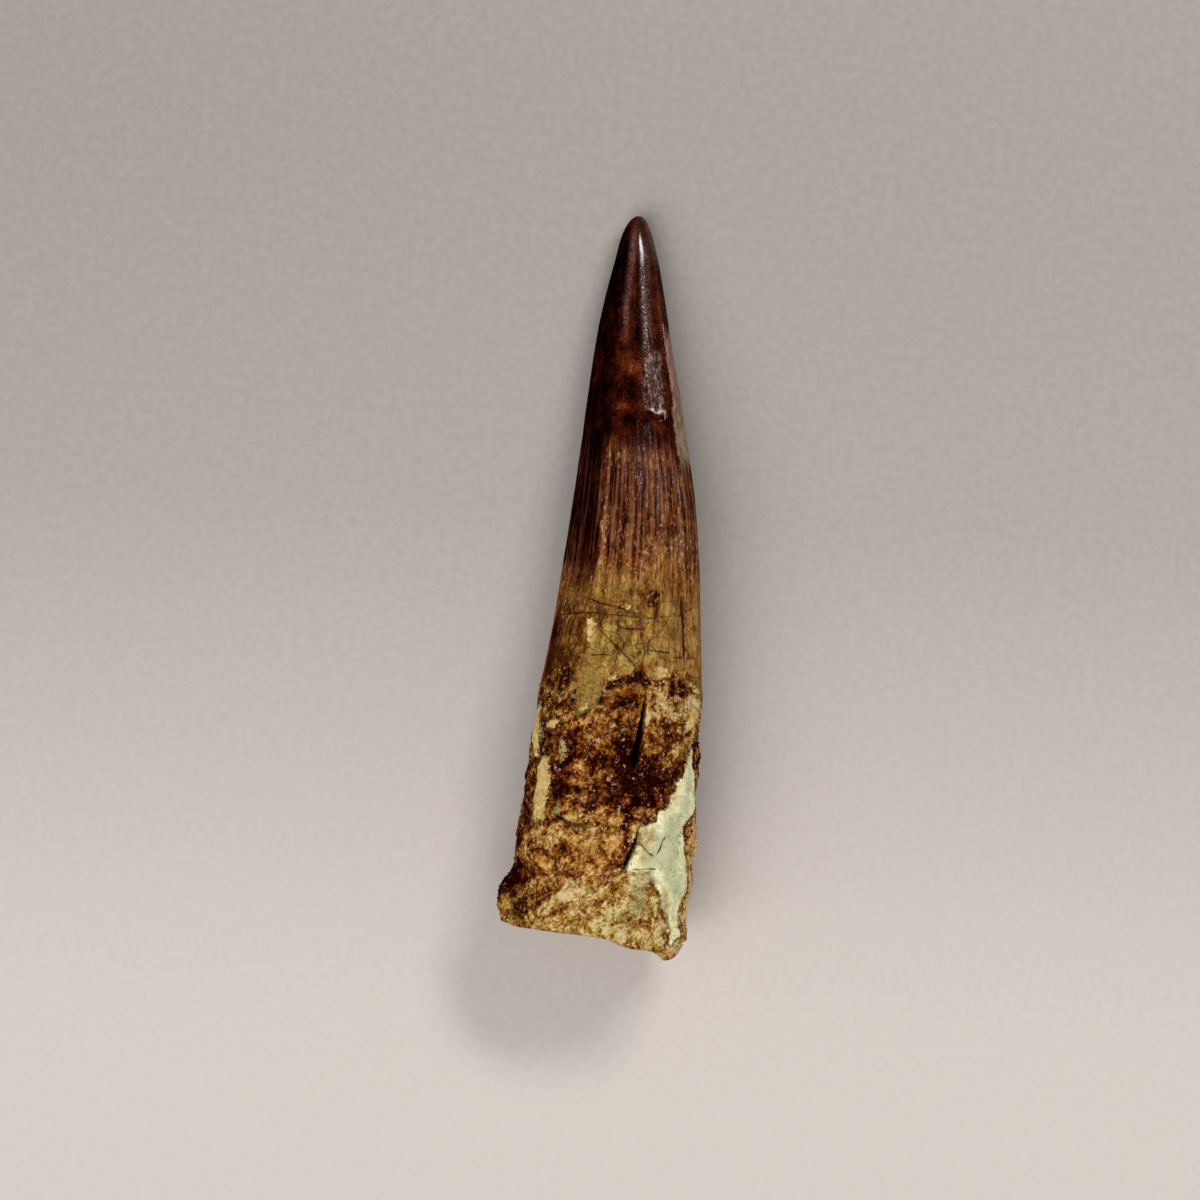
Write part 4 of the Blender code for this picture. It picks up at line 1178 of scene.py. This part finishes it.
def fossil_material(groups):
    """Polished brown enamel on the crown and grainy crust with clay on the root."""
    material = bpy.data.materials.new("fossil tooth")
    material.use_nodes = True
    shader = material.node_tree.nodes["Principled BSDF"]
    wires = Wires(material.node_tree)
    place = wires.stretch(wires.add("ShaderNodeTexCoord").outputs["Object"], (1000.0, 1000.0, 1000.0))
    flute_place = wires.add("ShaderNodeAttribute", attribute_name="streak_space").outputs["Vector"]
    distance = wires.mask("distance")
    masks = patch_masks(wires, groups, place)
    enamel, clay, cream, olive, plate = (masks[name] for name in ("enamel", "clay", "cream", "olive", "plate"))
    cracks = use(wires, groups["crack"], Side=wires.mask("crack_side"), Near=wires.mask("crack_near"), Place=place)
    grain = use(wires, groups["grain"], Place=place, Grains_per_mm=2.7)
    dust = use(wires, groups["grain"], Place=place, Grains_per_mm=4.8)
    streaks = use(wires, groups["streaks"], Flute_place=flute_place)
    fluted = wires.times(wires.rise(distance, 28.0, 34.0), wires.rise(distance, 44.0, 55.0, 1.0, 0.10))
    crust = wires.rest_of(enamel)
    sheen = wires.mask("sheen")

    bent_place = bent(wires, place, 2.2)
    network = wires.cells(bent_place, 0.42, "DISTANCE_TO_EDGE").outputs["Distance"]
    plates = wires.add("ShaderNodeSeparateColor", {"Color": wires.cells(bent_place, 0.42).outputs["Color"]}).outputs[0]
    crazed = wires.times(wires.rise(distance, 46.0, 53.0), enamel, wires.rise(wires.noise(place, 0.5, 3.0), 0.34, 0.5))
    crazed = wires.times(crazed, wires.rise(olive, 0.0, 1.0, 1.0, 0.25))
    tone = wires.plus(
        wires.mask("lightness"),
        wires.times(wires.swing(plates, 0.11), crazed),
        wires.times(wires.swing(streaks["Broad"], 0.10), enamel, wires.rise(distance, 48.0, 54.0)),
        wires.times(enamel_tone(wires, place, streaks, fluted), enamel),
        wires.times(crust_tone(wires, place, grain, dust), crust),
    )
    tone = wires.math("MAXIMUM", tone, wires.times(crust, 0.09))
    rust = wires.plus(
        wires.mask("rust"),
        wires.swing(wires.noise(place, 0.22, 3.0, 0.6), 2.0),
        wires.times(wires.swing(wires.noise(place, 1.3, 5.0, 0.7), 2.4), wires.rise(enamel, 0.0, 1.0, 1.0, 0.45)),
    )
    colour = use(wires, groups["colour"], Lightness=tone, Rust=rust)["Color"]
    # painted sheen: the flutes' crests are tinted pinkish-grey where light glances off them
    crest_sheen = wires.times(wires.rise(streaks["Broad"], 0.3, 0.9), wires.mask("crest"), fluted, wires.mask("lightness"))
    colour = wires.blend(crest_sheen, colour, paint(146, 112, 94))
    # painted glints: short pale dashes along the flutes' crests
    crest_glints = wires.rise(wires.noise(wires.stretch(place, (1.0, 0.4, 1.0)), 2.6, 3.0, 0.6), 0.575, 0.635)
    crest_glints = wires.times(crest_glints, wires.mask("crest"), fluted, wires.rise(wires.mask("lightness"), 0.2, 0.4))
    colour = wires.blend(wires.times(crest_glints, 0.7), colour, paint(204, 170, 134))
    colour = enamel_flecks(wires, place, colour, wires.times(enamel, wires.rest_of(olive)))
    clusters = wires.plus(wires.noise(place, 0.45, 4.0, 0.65), wires.times(wires.mask("grainy"), 0.16))
    clusters = wires.rise(clusters, 0.54, 0.64)
    clusters = wires.times(clusters, wires.rise(wires.mask("calm"), 0.1, 0.5, 1.0, 0.0))
    stones = use(wires, groups["grain"], Place=place, Grains_per_mm=1.8)
    whole = wires.rise(stones["Gap"], 0.0, 0.5, 1.0, 0.0)
    pale_grain = wires.times(wires.rise(stones["Tone"], 0.60, 0.66), whole, clusters)
    stone_tone = wires.ramp(wires.noise(place, 2.6, 4.0, 0.7), STONE_STOPS)
    colour = wires.blend(wires.times(pale_grain, crust, 0.8), colour, stone_tone)
    film = wires.plus(wires.mask("film"), wires.swing(wires.noise(place, 1.0, 6.0, 0.72), 2.2))
    film = wires.times(wires.rise(film, 0.42, 0.72), wires.rise(wires.mask("film"), 0.04, 0.3))
    film_tone = wires.ramp(wires.noise(place, 2.4, 4.0, 0.7), FILM_STOPS)
    colour = wires.blend(wires.times(film, 0.8), colour, film_tone)
    olive_tone = wires.ramp(wires.noise(place, 2.0, 6.0, 0.8), OLIVE_STOPS)
    colour = wires.blend(wires.times(olive, 0.85), colour, olive_tone)
    crackled = wires.rise(wires.noise(place, 3.4, 4.0, 0.75), 0.44, 0.60)
    # painted sheen: the tip's crackled bands are tinted purple-grey for light glancing off them
    painted_sheen = wires.times(wires.math("MINIMUM", sheen, 0.6), wires.rise(crackled, 0.0, 1.0, 0.12, 1.0))
    colour = wires.blend(painted_sheen, colour, paint(144, 112, 108))
    # painted sheen: a pale pinkish-grey strip on the right keel's facet, where light glances off it, broken up by noise
    sheen_strip_edge = wires.plus(wires.mask("facet_sheen"), wires.swing(wires.noise(place, 0.9, 6.0, 0.72), 0.9))
    sheen_breakup = wires.rise(wires.noise(wires.stretch(place, (1.0, 0.3, 1.0)), 1.6, 5.0, 0.7), 0.32, 0.60, 0.35, 1.0)
    facet_sheen = wires.times(wires.rise(sheen_strip_edge, 0.34, 0.78), wires.rise(wires.mask("facet_sheen"), 0.02, 0.3), sheen_breakup)
    colour = wires.blend(facet_sheen, colour, wires.blend(wires.rise(distance, 25.0, 29.0), paint(152, 121, 108), paint(154, 132, 106)))
    plate_tone = wires.ramp(wires.noise(wires.stretch(place, (1.0, 0.3, 1.0)), 2.6, 5.0, 0.78), PLATE_STOPS)
    colour = wires.blend(wires.times(plate, 0.8), colour, plate_tone)
    colour = wires.blend(cream, colour, cream_colour(wires, place))
    colour = wires.blend(clay, colour, clay_colour(wires, place))
    crazing = wires.times(wires.rise(network, 0.005, 0.07, 1.0, 0.0), crazed)
    colour = wires.blend(wires.times(crazing, 0.6), colour, paint(66, 34, 12))
    # pale scratches, and the chip's lower edge with its painted highlight
    scratch_and_glint = wires.rise(wires.plus(wires.mask("scratch_near"), wires.swing(wires.noise(place, 3.0, 4.0), 0.12)), 0.08, 0.0)
    colour = wires.blend(wires.times(scratch_and_glint, 0.85), colour, paint(222, 208, 198))
    colour = wires.blend(wires.times(cracks["Stain"], 0.32), colour, paint(74, 40, 16))
    colour = wires.blend(wires.times(cracks["Mask"], 0.85), colour, paint(40, 18, 8))
    # painted shade: the inside of the open cracks is painted nearly black for the shade deep in them
    slot_shade = wires.rise(wires.mask("in_slot"), -0.06, 0.12)
    colour = wires.blend(wires.times(slot_shade, 0.96), colour, paint(8, 3, 2))
    wires.feed(shader.inputs["Base Color"], colour)

    smooth = wires.math("MAXIMUM", clay, cream)
    rough_crust = wires.times(crust, wires.rest_of(smooth))
    polish = wires.rise(distance, 22.0, 60.0, 0.30, 0.55)
    roughness = wires.plus(polish, wires.swing(wires.noise(place, 2.0, 4.0, 0.7), 0.4), wires.times(crust, 0.2))
    wires.feed(shader.inputs["Roughness"], wires.math("MAXIMUM", roughness, 0.18))
    worn = wires.rise(wires.noise(place, 1.3, 4.0, 0.7), 0.34, 0.62, 0.55, 1.0)
    speckled = wires.rise(wires.noise(place, 4.2, 3.0, 0.65), 0.50, 0.64, 0.06, 1.0)
    speckled = wires.math("MAXIMUM", speckled, wires.rise(distance, 4.0, 7.5, 1.0, 0.0))
    glint = wires.times(wires.rise(grain["Tone"], 0.88, 0.92), rough_crust, 0.35)
    gloss = wires.times(wires.mask("shine"), worn, speckled)
    wires.feed(shader.inputs["Coat Weight"], wires.plus(gloss, glint))
    shader.inputs["Coat Roughness"].default_value = 0.13
    shader.inputs["Specular IOR Level"].default_value = 0.0

    skin_height = wires.times(wires.noise(place, 2.6, 6.0, 0.70), wires.rise(wires.mask("shine"), 0.3, 1.0, 0.10, 0.02))
    crackle = wires.cells(place, 2.2, "DISTANCE_TO_EDGE").outputs["Distance"]
    crackle_height = wires.times(wires.rise(crackle, 0.0, 0.12), wires.rise(distance, 4.0, 9.0, 0.008, 0.026), enamel)
    sheen_height = wires.times(crackled, sheen, 0.05)
    streak_height = wires.times(wires.plus(streaks["Broad"], streaks["Thin"]), wires.times(fluted, 0.08))
    lumps = wires.times(wires.noise(place, 1.1, 6.0, 0.70), 0.5)
    crust_height = wires.times(
        wires.plus(lumps, wires.times(grain["Height"], 0.16), wires.times(dust["Height"], 0.06)), rough_crust
    )
    crack_height = wires.plus(wires.times(cracks["Mask"], -0.12), wires.times(crazing, -0.05))
    height = wires.plus(skin_height, crackle_height, sheen_height, streak_height, crust_height, crack_height)
    bump = wires.add("ShaderNodeBump", {"Height": height, "Strength": 1.0, "Distance": MM})
    wires.feed(shader.inputs["Normal"], bump.outputs["Normal"])
    return material


STONE_STOPS = ((0.36, paint(150, 96, 62)), (0.5, paint(206, 156, 118)), (0.66, paint(240, 208, 178)))
OLIVE_STOPS = ((0.36, paint(92, 62, 24)), (0.48, paint(146, 116, 52)), (0.66, paint(186, 162, 92)))
FILM_STOPS = ((0.34, paint(104, 84, 40)), (0.5, paint(172, 156, 96)), (0.66, paint(218, 210, 156)))
PLATE_STOPS = ((0.36, paint(46, 23, 17)), (0.5, paint(85, 59, 51)), (0.62, paint(158, 134, 126)))


def sand_material(groups):
    """Quartz and iron grains stuck to the crust, each with a tone of its own."""
    material = bpy.data.materials.new("quartz sand")
    material.use_nodes = True
    shader = material.node_tree.nodes["Principled BSDF"]
    wires = Wires(material.node_tree)
    place = wires.stretch(wires.add("ShaderNodeTexCoord").outputs["Object"], (1000.0, 1000.0, 1000.0))
    dice = wires.mask("grain_tone")
    tone = wires.plus(
        wires.mask("lightness"),
        wires.rise(wires.math("POWER", dice, 2.5), 0.0, 1.0, -0.14, 0.34),
        wires.swing(wires.noise(place, 5.0, 3.0, 0.6), 0.3),
    )
    rust = wires.plus(wires.mask("rust"), wires.swing(dice, -1.2))
    wires.feed(shader.inputs["Base Color"], use(wires, groups["colour"], Lightness=tone, Rust=rust)["Color"])
    wires.feed(shader.inputs["Roughness"], wires.rise(wires.noise(place, 3.0, 3.0), 0.3, 0.7, 0.25, 0.6))
    wires.feed(shader.inputs["Coat Weight"], wires.rise(dice, 0.5, 1.0, 0.0, 0.7))
    shader.inputs["Coat Roughness"].default_value = 0.2
    shader.inputs["Specular IOR Level"].default_value = 0.0
    bump = wires.add("ShaderNodeBump", {"Height": wires.noise(place, 6.0, 3.0), "Strength": 0.5, "Distance": 0.1 * MM})
    wires.feed(shader.inputs["Normal"], bump.outputs["Normal"])
    return material


def geometry_tree(name, inputs):
    """A Geometry Nodes tree with a geometry inlet and outlet and those named inputs."""
    tree = bpy.data.node_groups.new(name, "GeometryNodeTree")
    tree.interface.new_socket("Geometry", in_out="INPUT", socket_type="NodeSocketGeometry")
    tree.interface.new_socket("Geometry", in_out="OUTPUT", socket_type="NodeSocketGeometry")
    for socket, kind, default in inputs:
        made = tree.interface.new_socket(socket, in_out="INPUT", socket_type=kind)
        if default is not None:
            made.default_value = default
    wires = Wires(tree)
    return tree, wires, wires.add("NodeGroupInput").outputs, wires.add("NodeGroupOutput").inputs


def read(wires, name):
    """A number kept on the mesh, inside a Geometry Nodes tree."""
    return wires.add("GeometryNodeInputNamedAttribute", {"Name": name}, data_type="FLOAT").outputs["Attribute"]


def dice(wires, kind="FLOAT", **inputs):
    """A random number or vector, inside a Geometry Nodes tree."""
    node = wires.add("FunctionNodeRandomValue", data_type=kind)
    for name, value in inputs.items():
        wires.feed(next(s for s in node.inputs if s.name == name and s.enabled), value)
    return next(s for s in node.outputs if s.enabled)


def store(wires, geometry, name, value, domain="POINT"):
    """Keeps a value on the geometry under a name."""
    node = wires.add("GeometryNodeStoreNamedAttribute", data_type="FLOAT", domain=domain)
    wires.feed(node.inputs["Geometry"], geometry)
    wires.feed(node.inputs["Name"], name)
    wires.feed(next(s for s in node.inputs if s.name == "Value" and s.enabled), value)
    return node.outputs[0]


def finish_tree(wires, geometry, material, out):
    """Ends a tree: instances realized, and the material set."""
    real = wires.add("GeometryNodeRealizeInstances", {"Geometry": geometry}).outputs[0]
    dressed = wires.add("GeometryNodeSetMaterial", {"Geometry": real, "Material": material}).outputs[0]
    wires.feed(out["Geometry"], dressed)


def flute_tree():
    """Raises rounded flutes with sharp grooves between them, each with its own height, and keeps where crests are."""
    inputs = (
        ("Flutes", "NodeSocketInt", 48),
        ("Depth", "NodeSocketFloat", 0.30 * MM),
        ("Wander", "NodeSocketFloat", 0.8),
        ("Ripple", "NodeSocketFloat", 1.2),
        ("Seed", "NodeSocketInt", SEED),
        ("Material", "NodeSocketMaterial", None),
    )
    tree, wires, given, out = geometry_tree("enamel flutes", inputs)
    share = read(wires, "turn")
    turn = wires.times(share, 2 * math.pi)
    around = wires.add("ShaderNodeCombineXYZ")
    wires.feed(around.inputs[0], wires.times(wires.math("COSINE", turn), 5.0))
    wires.feed(around.inputs[1], wires.times(wires.math("SINE", turn), 5.0))
    wires.feed(around.inputs[2], wires.times(read(wires, "distance"), 0.05))
    drift = wires.math("SUBTRACT", wires.noise(around.outputs[0], 1.3, 2.0), 0.5)
    quick = wires.add("ShaderNodeVectorMath", operation="MULTIPLY")
    wires.feed(quick.inputs[0], around.outputs[0])
    quick.inputs[1].default_value = (1.0, 1.0, 5.0)
    ripple = wires.math("SUBTRACT", wires.noise(quick.outputs[0], 1.6, 3.0, 0.6), 0.5)
    phase = wires.plus(
        wires.times(share, given["Flutes"]),
        wires.times(drift, given["Wander"], 2.0),
        wires.times(ripple, given["Ripple"]),
    )
    within = wires.math("FRACT", phase)
    number = wires.math("WRAP", wires.math("FLOOR", phase), given["Flutes"], 0.0)
    from_crest = wires.math("ABSOLUTE", wires.math("SUBTRACT", wires.times(within, 2.0), 1.0))
    crest = wires.math("SUBTRACT", 1.0, wires.math("POWER", from_crest, 1.7))
    lively = wires.rise(wires.noise(around.outputs[0], 2.4, 3.0), 0.34, 0.62, 0.35, 1.0)
    depth = wires.times(dice(wires, Min=0.4, Max=1.0, ID=number, Seed=given["Seed"]), given["Depth"], lively)
    rise = wires.times(wires.math("SUBTRACT", crest, 0.5), depth, read(wires, "flute_room"))
    offset = wires.add("ShaderNodeVectorMath", operation="SCALE")
    wires.feed(offset.inputs[0], wires.add("GeometryNodeInputNormal").outputs[0])
    wires.feed(offset.inputs["Scale"], rise)
    marked = store(wires, given["Geometry"], "crest", crest)
    moved = wires.add("GeometryNodeSetPosition", {"Geometry": marked, "Offset": offset.outputs[0]}).outputs[0]
    finish_tree(wires, moved, given["Material"], out)
    return tree


def sand_tree():
    """Strews angular grains over the crust, thickest where the mesh says there is room for them."""
    inputs = (
        ("Least gap", "NodeSocketFloat", 0.22 * MM),
        ("Grains per square metre", "NodeSocketFloat", 4.0e6),
        ("Grain radius", "NodeSocketFloat", 0.17 * MM),
        ("Jaggedness", "NodeSocketFloat", 0.05 * MM),
        ("Seed", "NodeSocketInt", SEED),
        ("Material", "NodeSocketMaterial", None),
    )
    tree, wires, given, out = geometry_tree("strewn sand", inputs)
    strewn = wires.add("GeometryNodeDistributePointsOnFaces", distribute_method="POISSON")
    wires.feed(strewn.inputs["Mesh"], given["Geometry"])
    wires.feed(strewn.inputs["Distance Min"], given["Least gap"])
    wires.feed(strewn.inputs["Density Max"], given["Grains per square metre"])
    wires.feed(strewn.inputs["Density Factor"], read(wires, "sand_room"))
    wires.feed(strewn.inputs["Seed"], given["Seed"])
    grain = wires.add("GeometryNodeMeshIcoSphere", {"Radius": given["Grain radius"], "Subdivisions": 1}).outputs["Mesh"]
    size = dice(wires, "FLOAT_VECTOR", Min=(0.5, 0.5, 0.4), Max=(1.25, 1.0, 0.9), Seed=given["Seed"])
    spin = dice(wires, "FLOAT_VECTOR", Min=(0.0, 0.0, 0.0), Max=(6.283, 6.283, 6.283), Seed=given["Seed"])
    placed = wires.add("GeometryNodeInstanceOnPoints")
    wires.feed(placed.inputs["Points"], strewn.outputs["Points"])
    wires.feed(placed.inputs["Instance"], grain)
    wires.feed(placed.inputs["Rotation"], spin)
    wires.feed(placed.inputs["Scale"], size)
    toned = store(wires, placed.outputs[0], "grain_tone", dice(wires, Seed=given["Seed"]), "INSTANCE")
    real = wires.add("GeometryNodeRealizeInstances", {"Geometry": toned}).outputs[0]
    jag = wires.add("ShaderNodeVectorMath", operation="SCALE")
    wires.feed(jag.inputs[0], dice(wires, "FLOAT_VECTOR", Min=(-1.0, -1.0, -1.0), Max=(1.0, 1.0, 1.0)))
    wires.feed(jag.inputs["Scale"], given["Jaggedness"])
    ragged = wires.add("GeometryNodeSetPosition", {"Geometry": real, "Offset": jag.outputs[0]}).outputs[0]
    finish_tree(wires, ragged, given["Material"], out)
    return tree


def grown(name, mesh, tree, values):
    """A new object whose mesh is what the Geometry Nodes tree makes of the given one."""
    source = bpy.data.objects.new(name, mesh)
    bpy.context.scene.collection.objects.link(source)
    modifier = source.modifiers.new(tree.name, "NODES")
    modifier.node_group = tree
    for item in tree.interface.items_tree:
        if item.name in values and item.in_out == "INPUT":
            modifier[item.identifier] = values[item.name]
    depsgraph = bpy.context.evaluated_depsgraph_get()
    result = bpy.data.meshes.new_from_object(
        source.evaluated_get(depsgraph), preserve_all_data_layers=True, depsgraph=depsgraph
    )
    source.modifiers.remove(modifier)
    source.data = result
    result.name = name
    return source


def light(name, place, aim, size, power, colour=(1.0, 1.0, 1.0)):
    """A soft panel light at a place in metres, turned to what it aims at."""
    data = bpy.data.lights.new(name, "AREA")
    data.shape = "RECTANGLE"
    data.size, data.size_y = size
    data.energy = power
    data.color = colour
    lamp = bpy.data.objects.new(name, data)
    lamp.location = place
    lamp.rotation_euler = (Vector(aim) - Vector(place)).to_track_quat("-Z", "Y").to_euler()
    bpy.context.scene.collection.objects.link(lamp)
    return lamp


# The photograph's view: straight down, with the tooth leaning a little to the right
FRAME_WIDTH = 161.5
CENTRE_DISTANCE = 52.2
CENTRE_ACROSS = -1.9
LEAN = 3.63
LENS = 180.0
SENSOR = 36.0
FOCUS_HEIGHT = 7.0


def build_camera():
    high = cad_box[1]
    data = bpy.data.cameras.new("camera")
    data.lens = LENS
    data.sensor_width = SENSOR
    camera = bpy.data.objects.new("camera", data)
    away = FRAME_WIDTH * LENS / SENSOR + FOCUS_HEIGHT
    camera.location = (CENTRE_ACROSS * MM, high.y - CENTRE_DISTANCE * MM, away * MM)
    camera.rotation_euler = (0.0, 0.0, math.radians(LEAN))
    bpy.context.scene.collection.objects.link(camera)
    bpy.context.scene.camera = camera


# Painted light falloff on the grey-beige table, darker beyond the tip and lighter below the root
FLOOR_FALLOFF_STOPS = (
    (0.0, paint(158, 151, 145)),
    (0.40, paint(168, 161, 154)),
    (0.75, paint(190, 181, 175)),
    (1.0, paint(208, 199, 192)),
)


def floor_material():
    """Matt pale grey-beige table top, painted lighter towards the root as a light falloff."""
    material = bpy.data.materials.new("pale table")
    material.use_nodes = True
    shader = material.node_tree.nodes["Principled BSDF"]
    wires = Wires(material.node_tree)
    place = wires.add("ShaderNodeTexCoord").outputs["Object"]
    along = wires.add("ShaderNodeSeparateXYZ", {"Vector": place}).outputs[1]
    # painted light falloff along the table
    painted_falloff = wires.ramp(wires.rise(along, 0.075, -0.075), FLOOR_FALLOFF_STOPS)
    speck = wires.rise(wires.noise(place, 900.0, 3.0, 0.6), 0.3, 0.7, 0.0, 0.05)
    wires.feed(shader.inputs["Base Color"], wires.blend(speck, painted_falloff, paint(255, 255, 255)))
    shader.inputs["Roughness"].default_value = 0.9
    shader.inputs["Specular IOR Level"].default_value = 0.2
    return material


def build_studio():
    mesh = bpy.data.meshes.new("table_top")
    half = 1.5
    corners = [(-half, -half, 0.0), (half, -half, 0.0), (half, half, 0.0), (-half, half, 0.0)]
    mesh.from_pydata(corners, [], [(0, 1, 2, 3)])
    mesh.materials.append(floor_material())
    floor = bpy.data.objects.new("table_top", mesh)
    bpy.context.scene.collection.objects.link(floor)
    light("key", (0.26, 0.40, 0.46), (0.0, 0.0, 0.01), (0.30, 0.10), 2.3, (1.0, 0.975, 0.94))
    ceiling = light("ceiling", (-0.40, -0.55, 1.0), (0.0, 0.0, 0.0), (1.2, 1.2), 14.0)
    ceiling.visible_glossy = False
    world = bpy.data.worlds.new("studio air")
    world.use_nodes = True
    world.node_tree.nodes["Background"].inputs["Color"].default_value = (0.95, 0.97, 1.0, 1.0)
    world.node_tree.nodes["Background"].inputs["Strength"].default_value = 0.15
    bpy.context.scene.world = world
    bpy.context.scene.view_settings.view_transform = "Standard"


def main():
    skin = Skin()
    groups = build_groups()
    tooth = grown("fossil_tooth", skin_mesh(skin), flute_tree(), {"Material": fossil_material(groups)})
    sand = grown("sand_grains", tooth.data.copy(), sand_tree(), {"Material": sand_material(groups)})
    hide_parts("tooth")
    for piece in (tooth, sand):
        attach(piece, "root")
    build_studio()
    build_camera()


main()
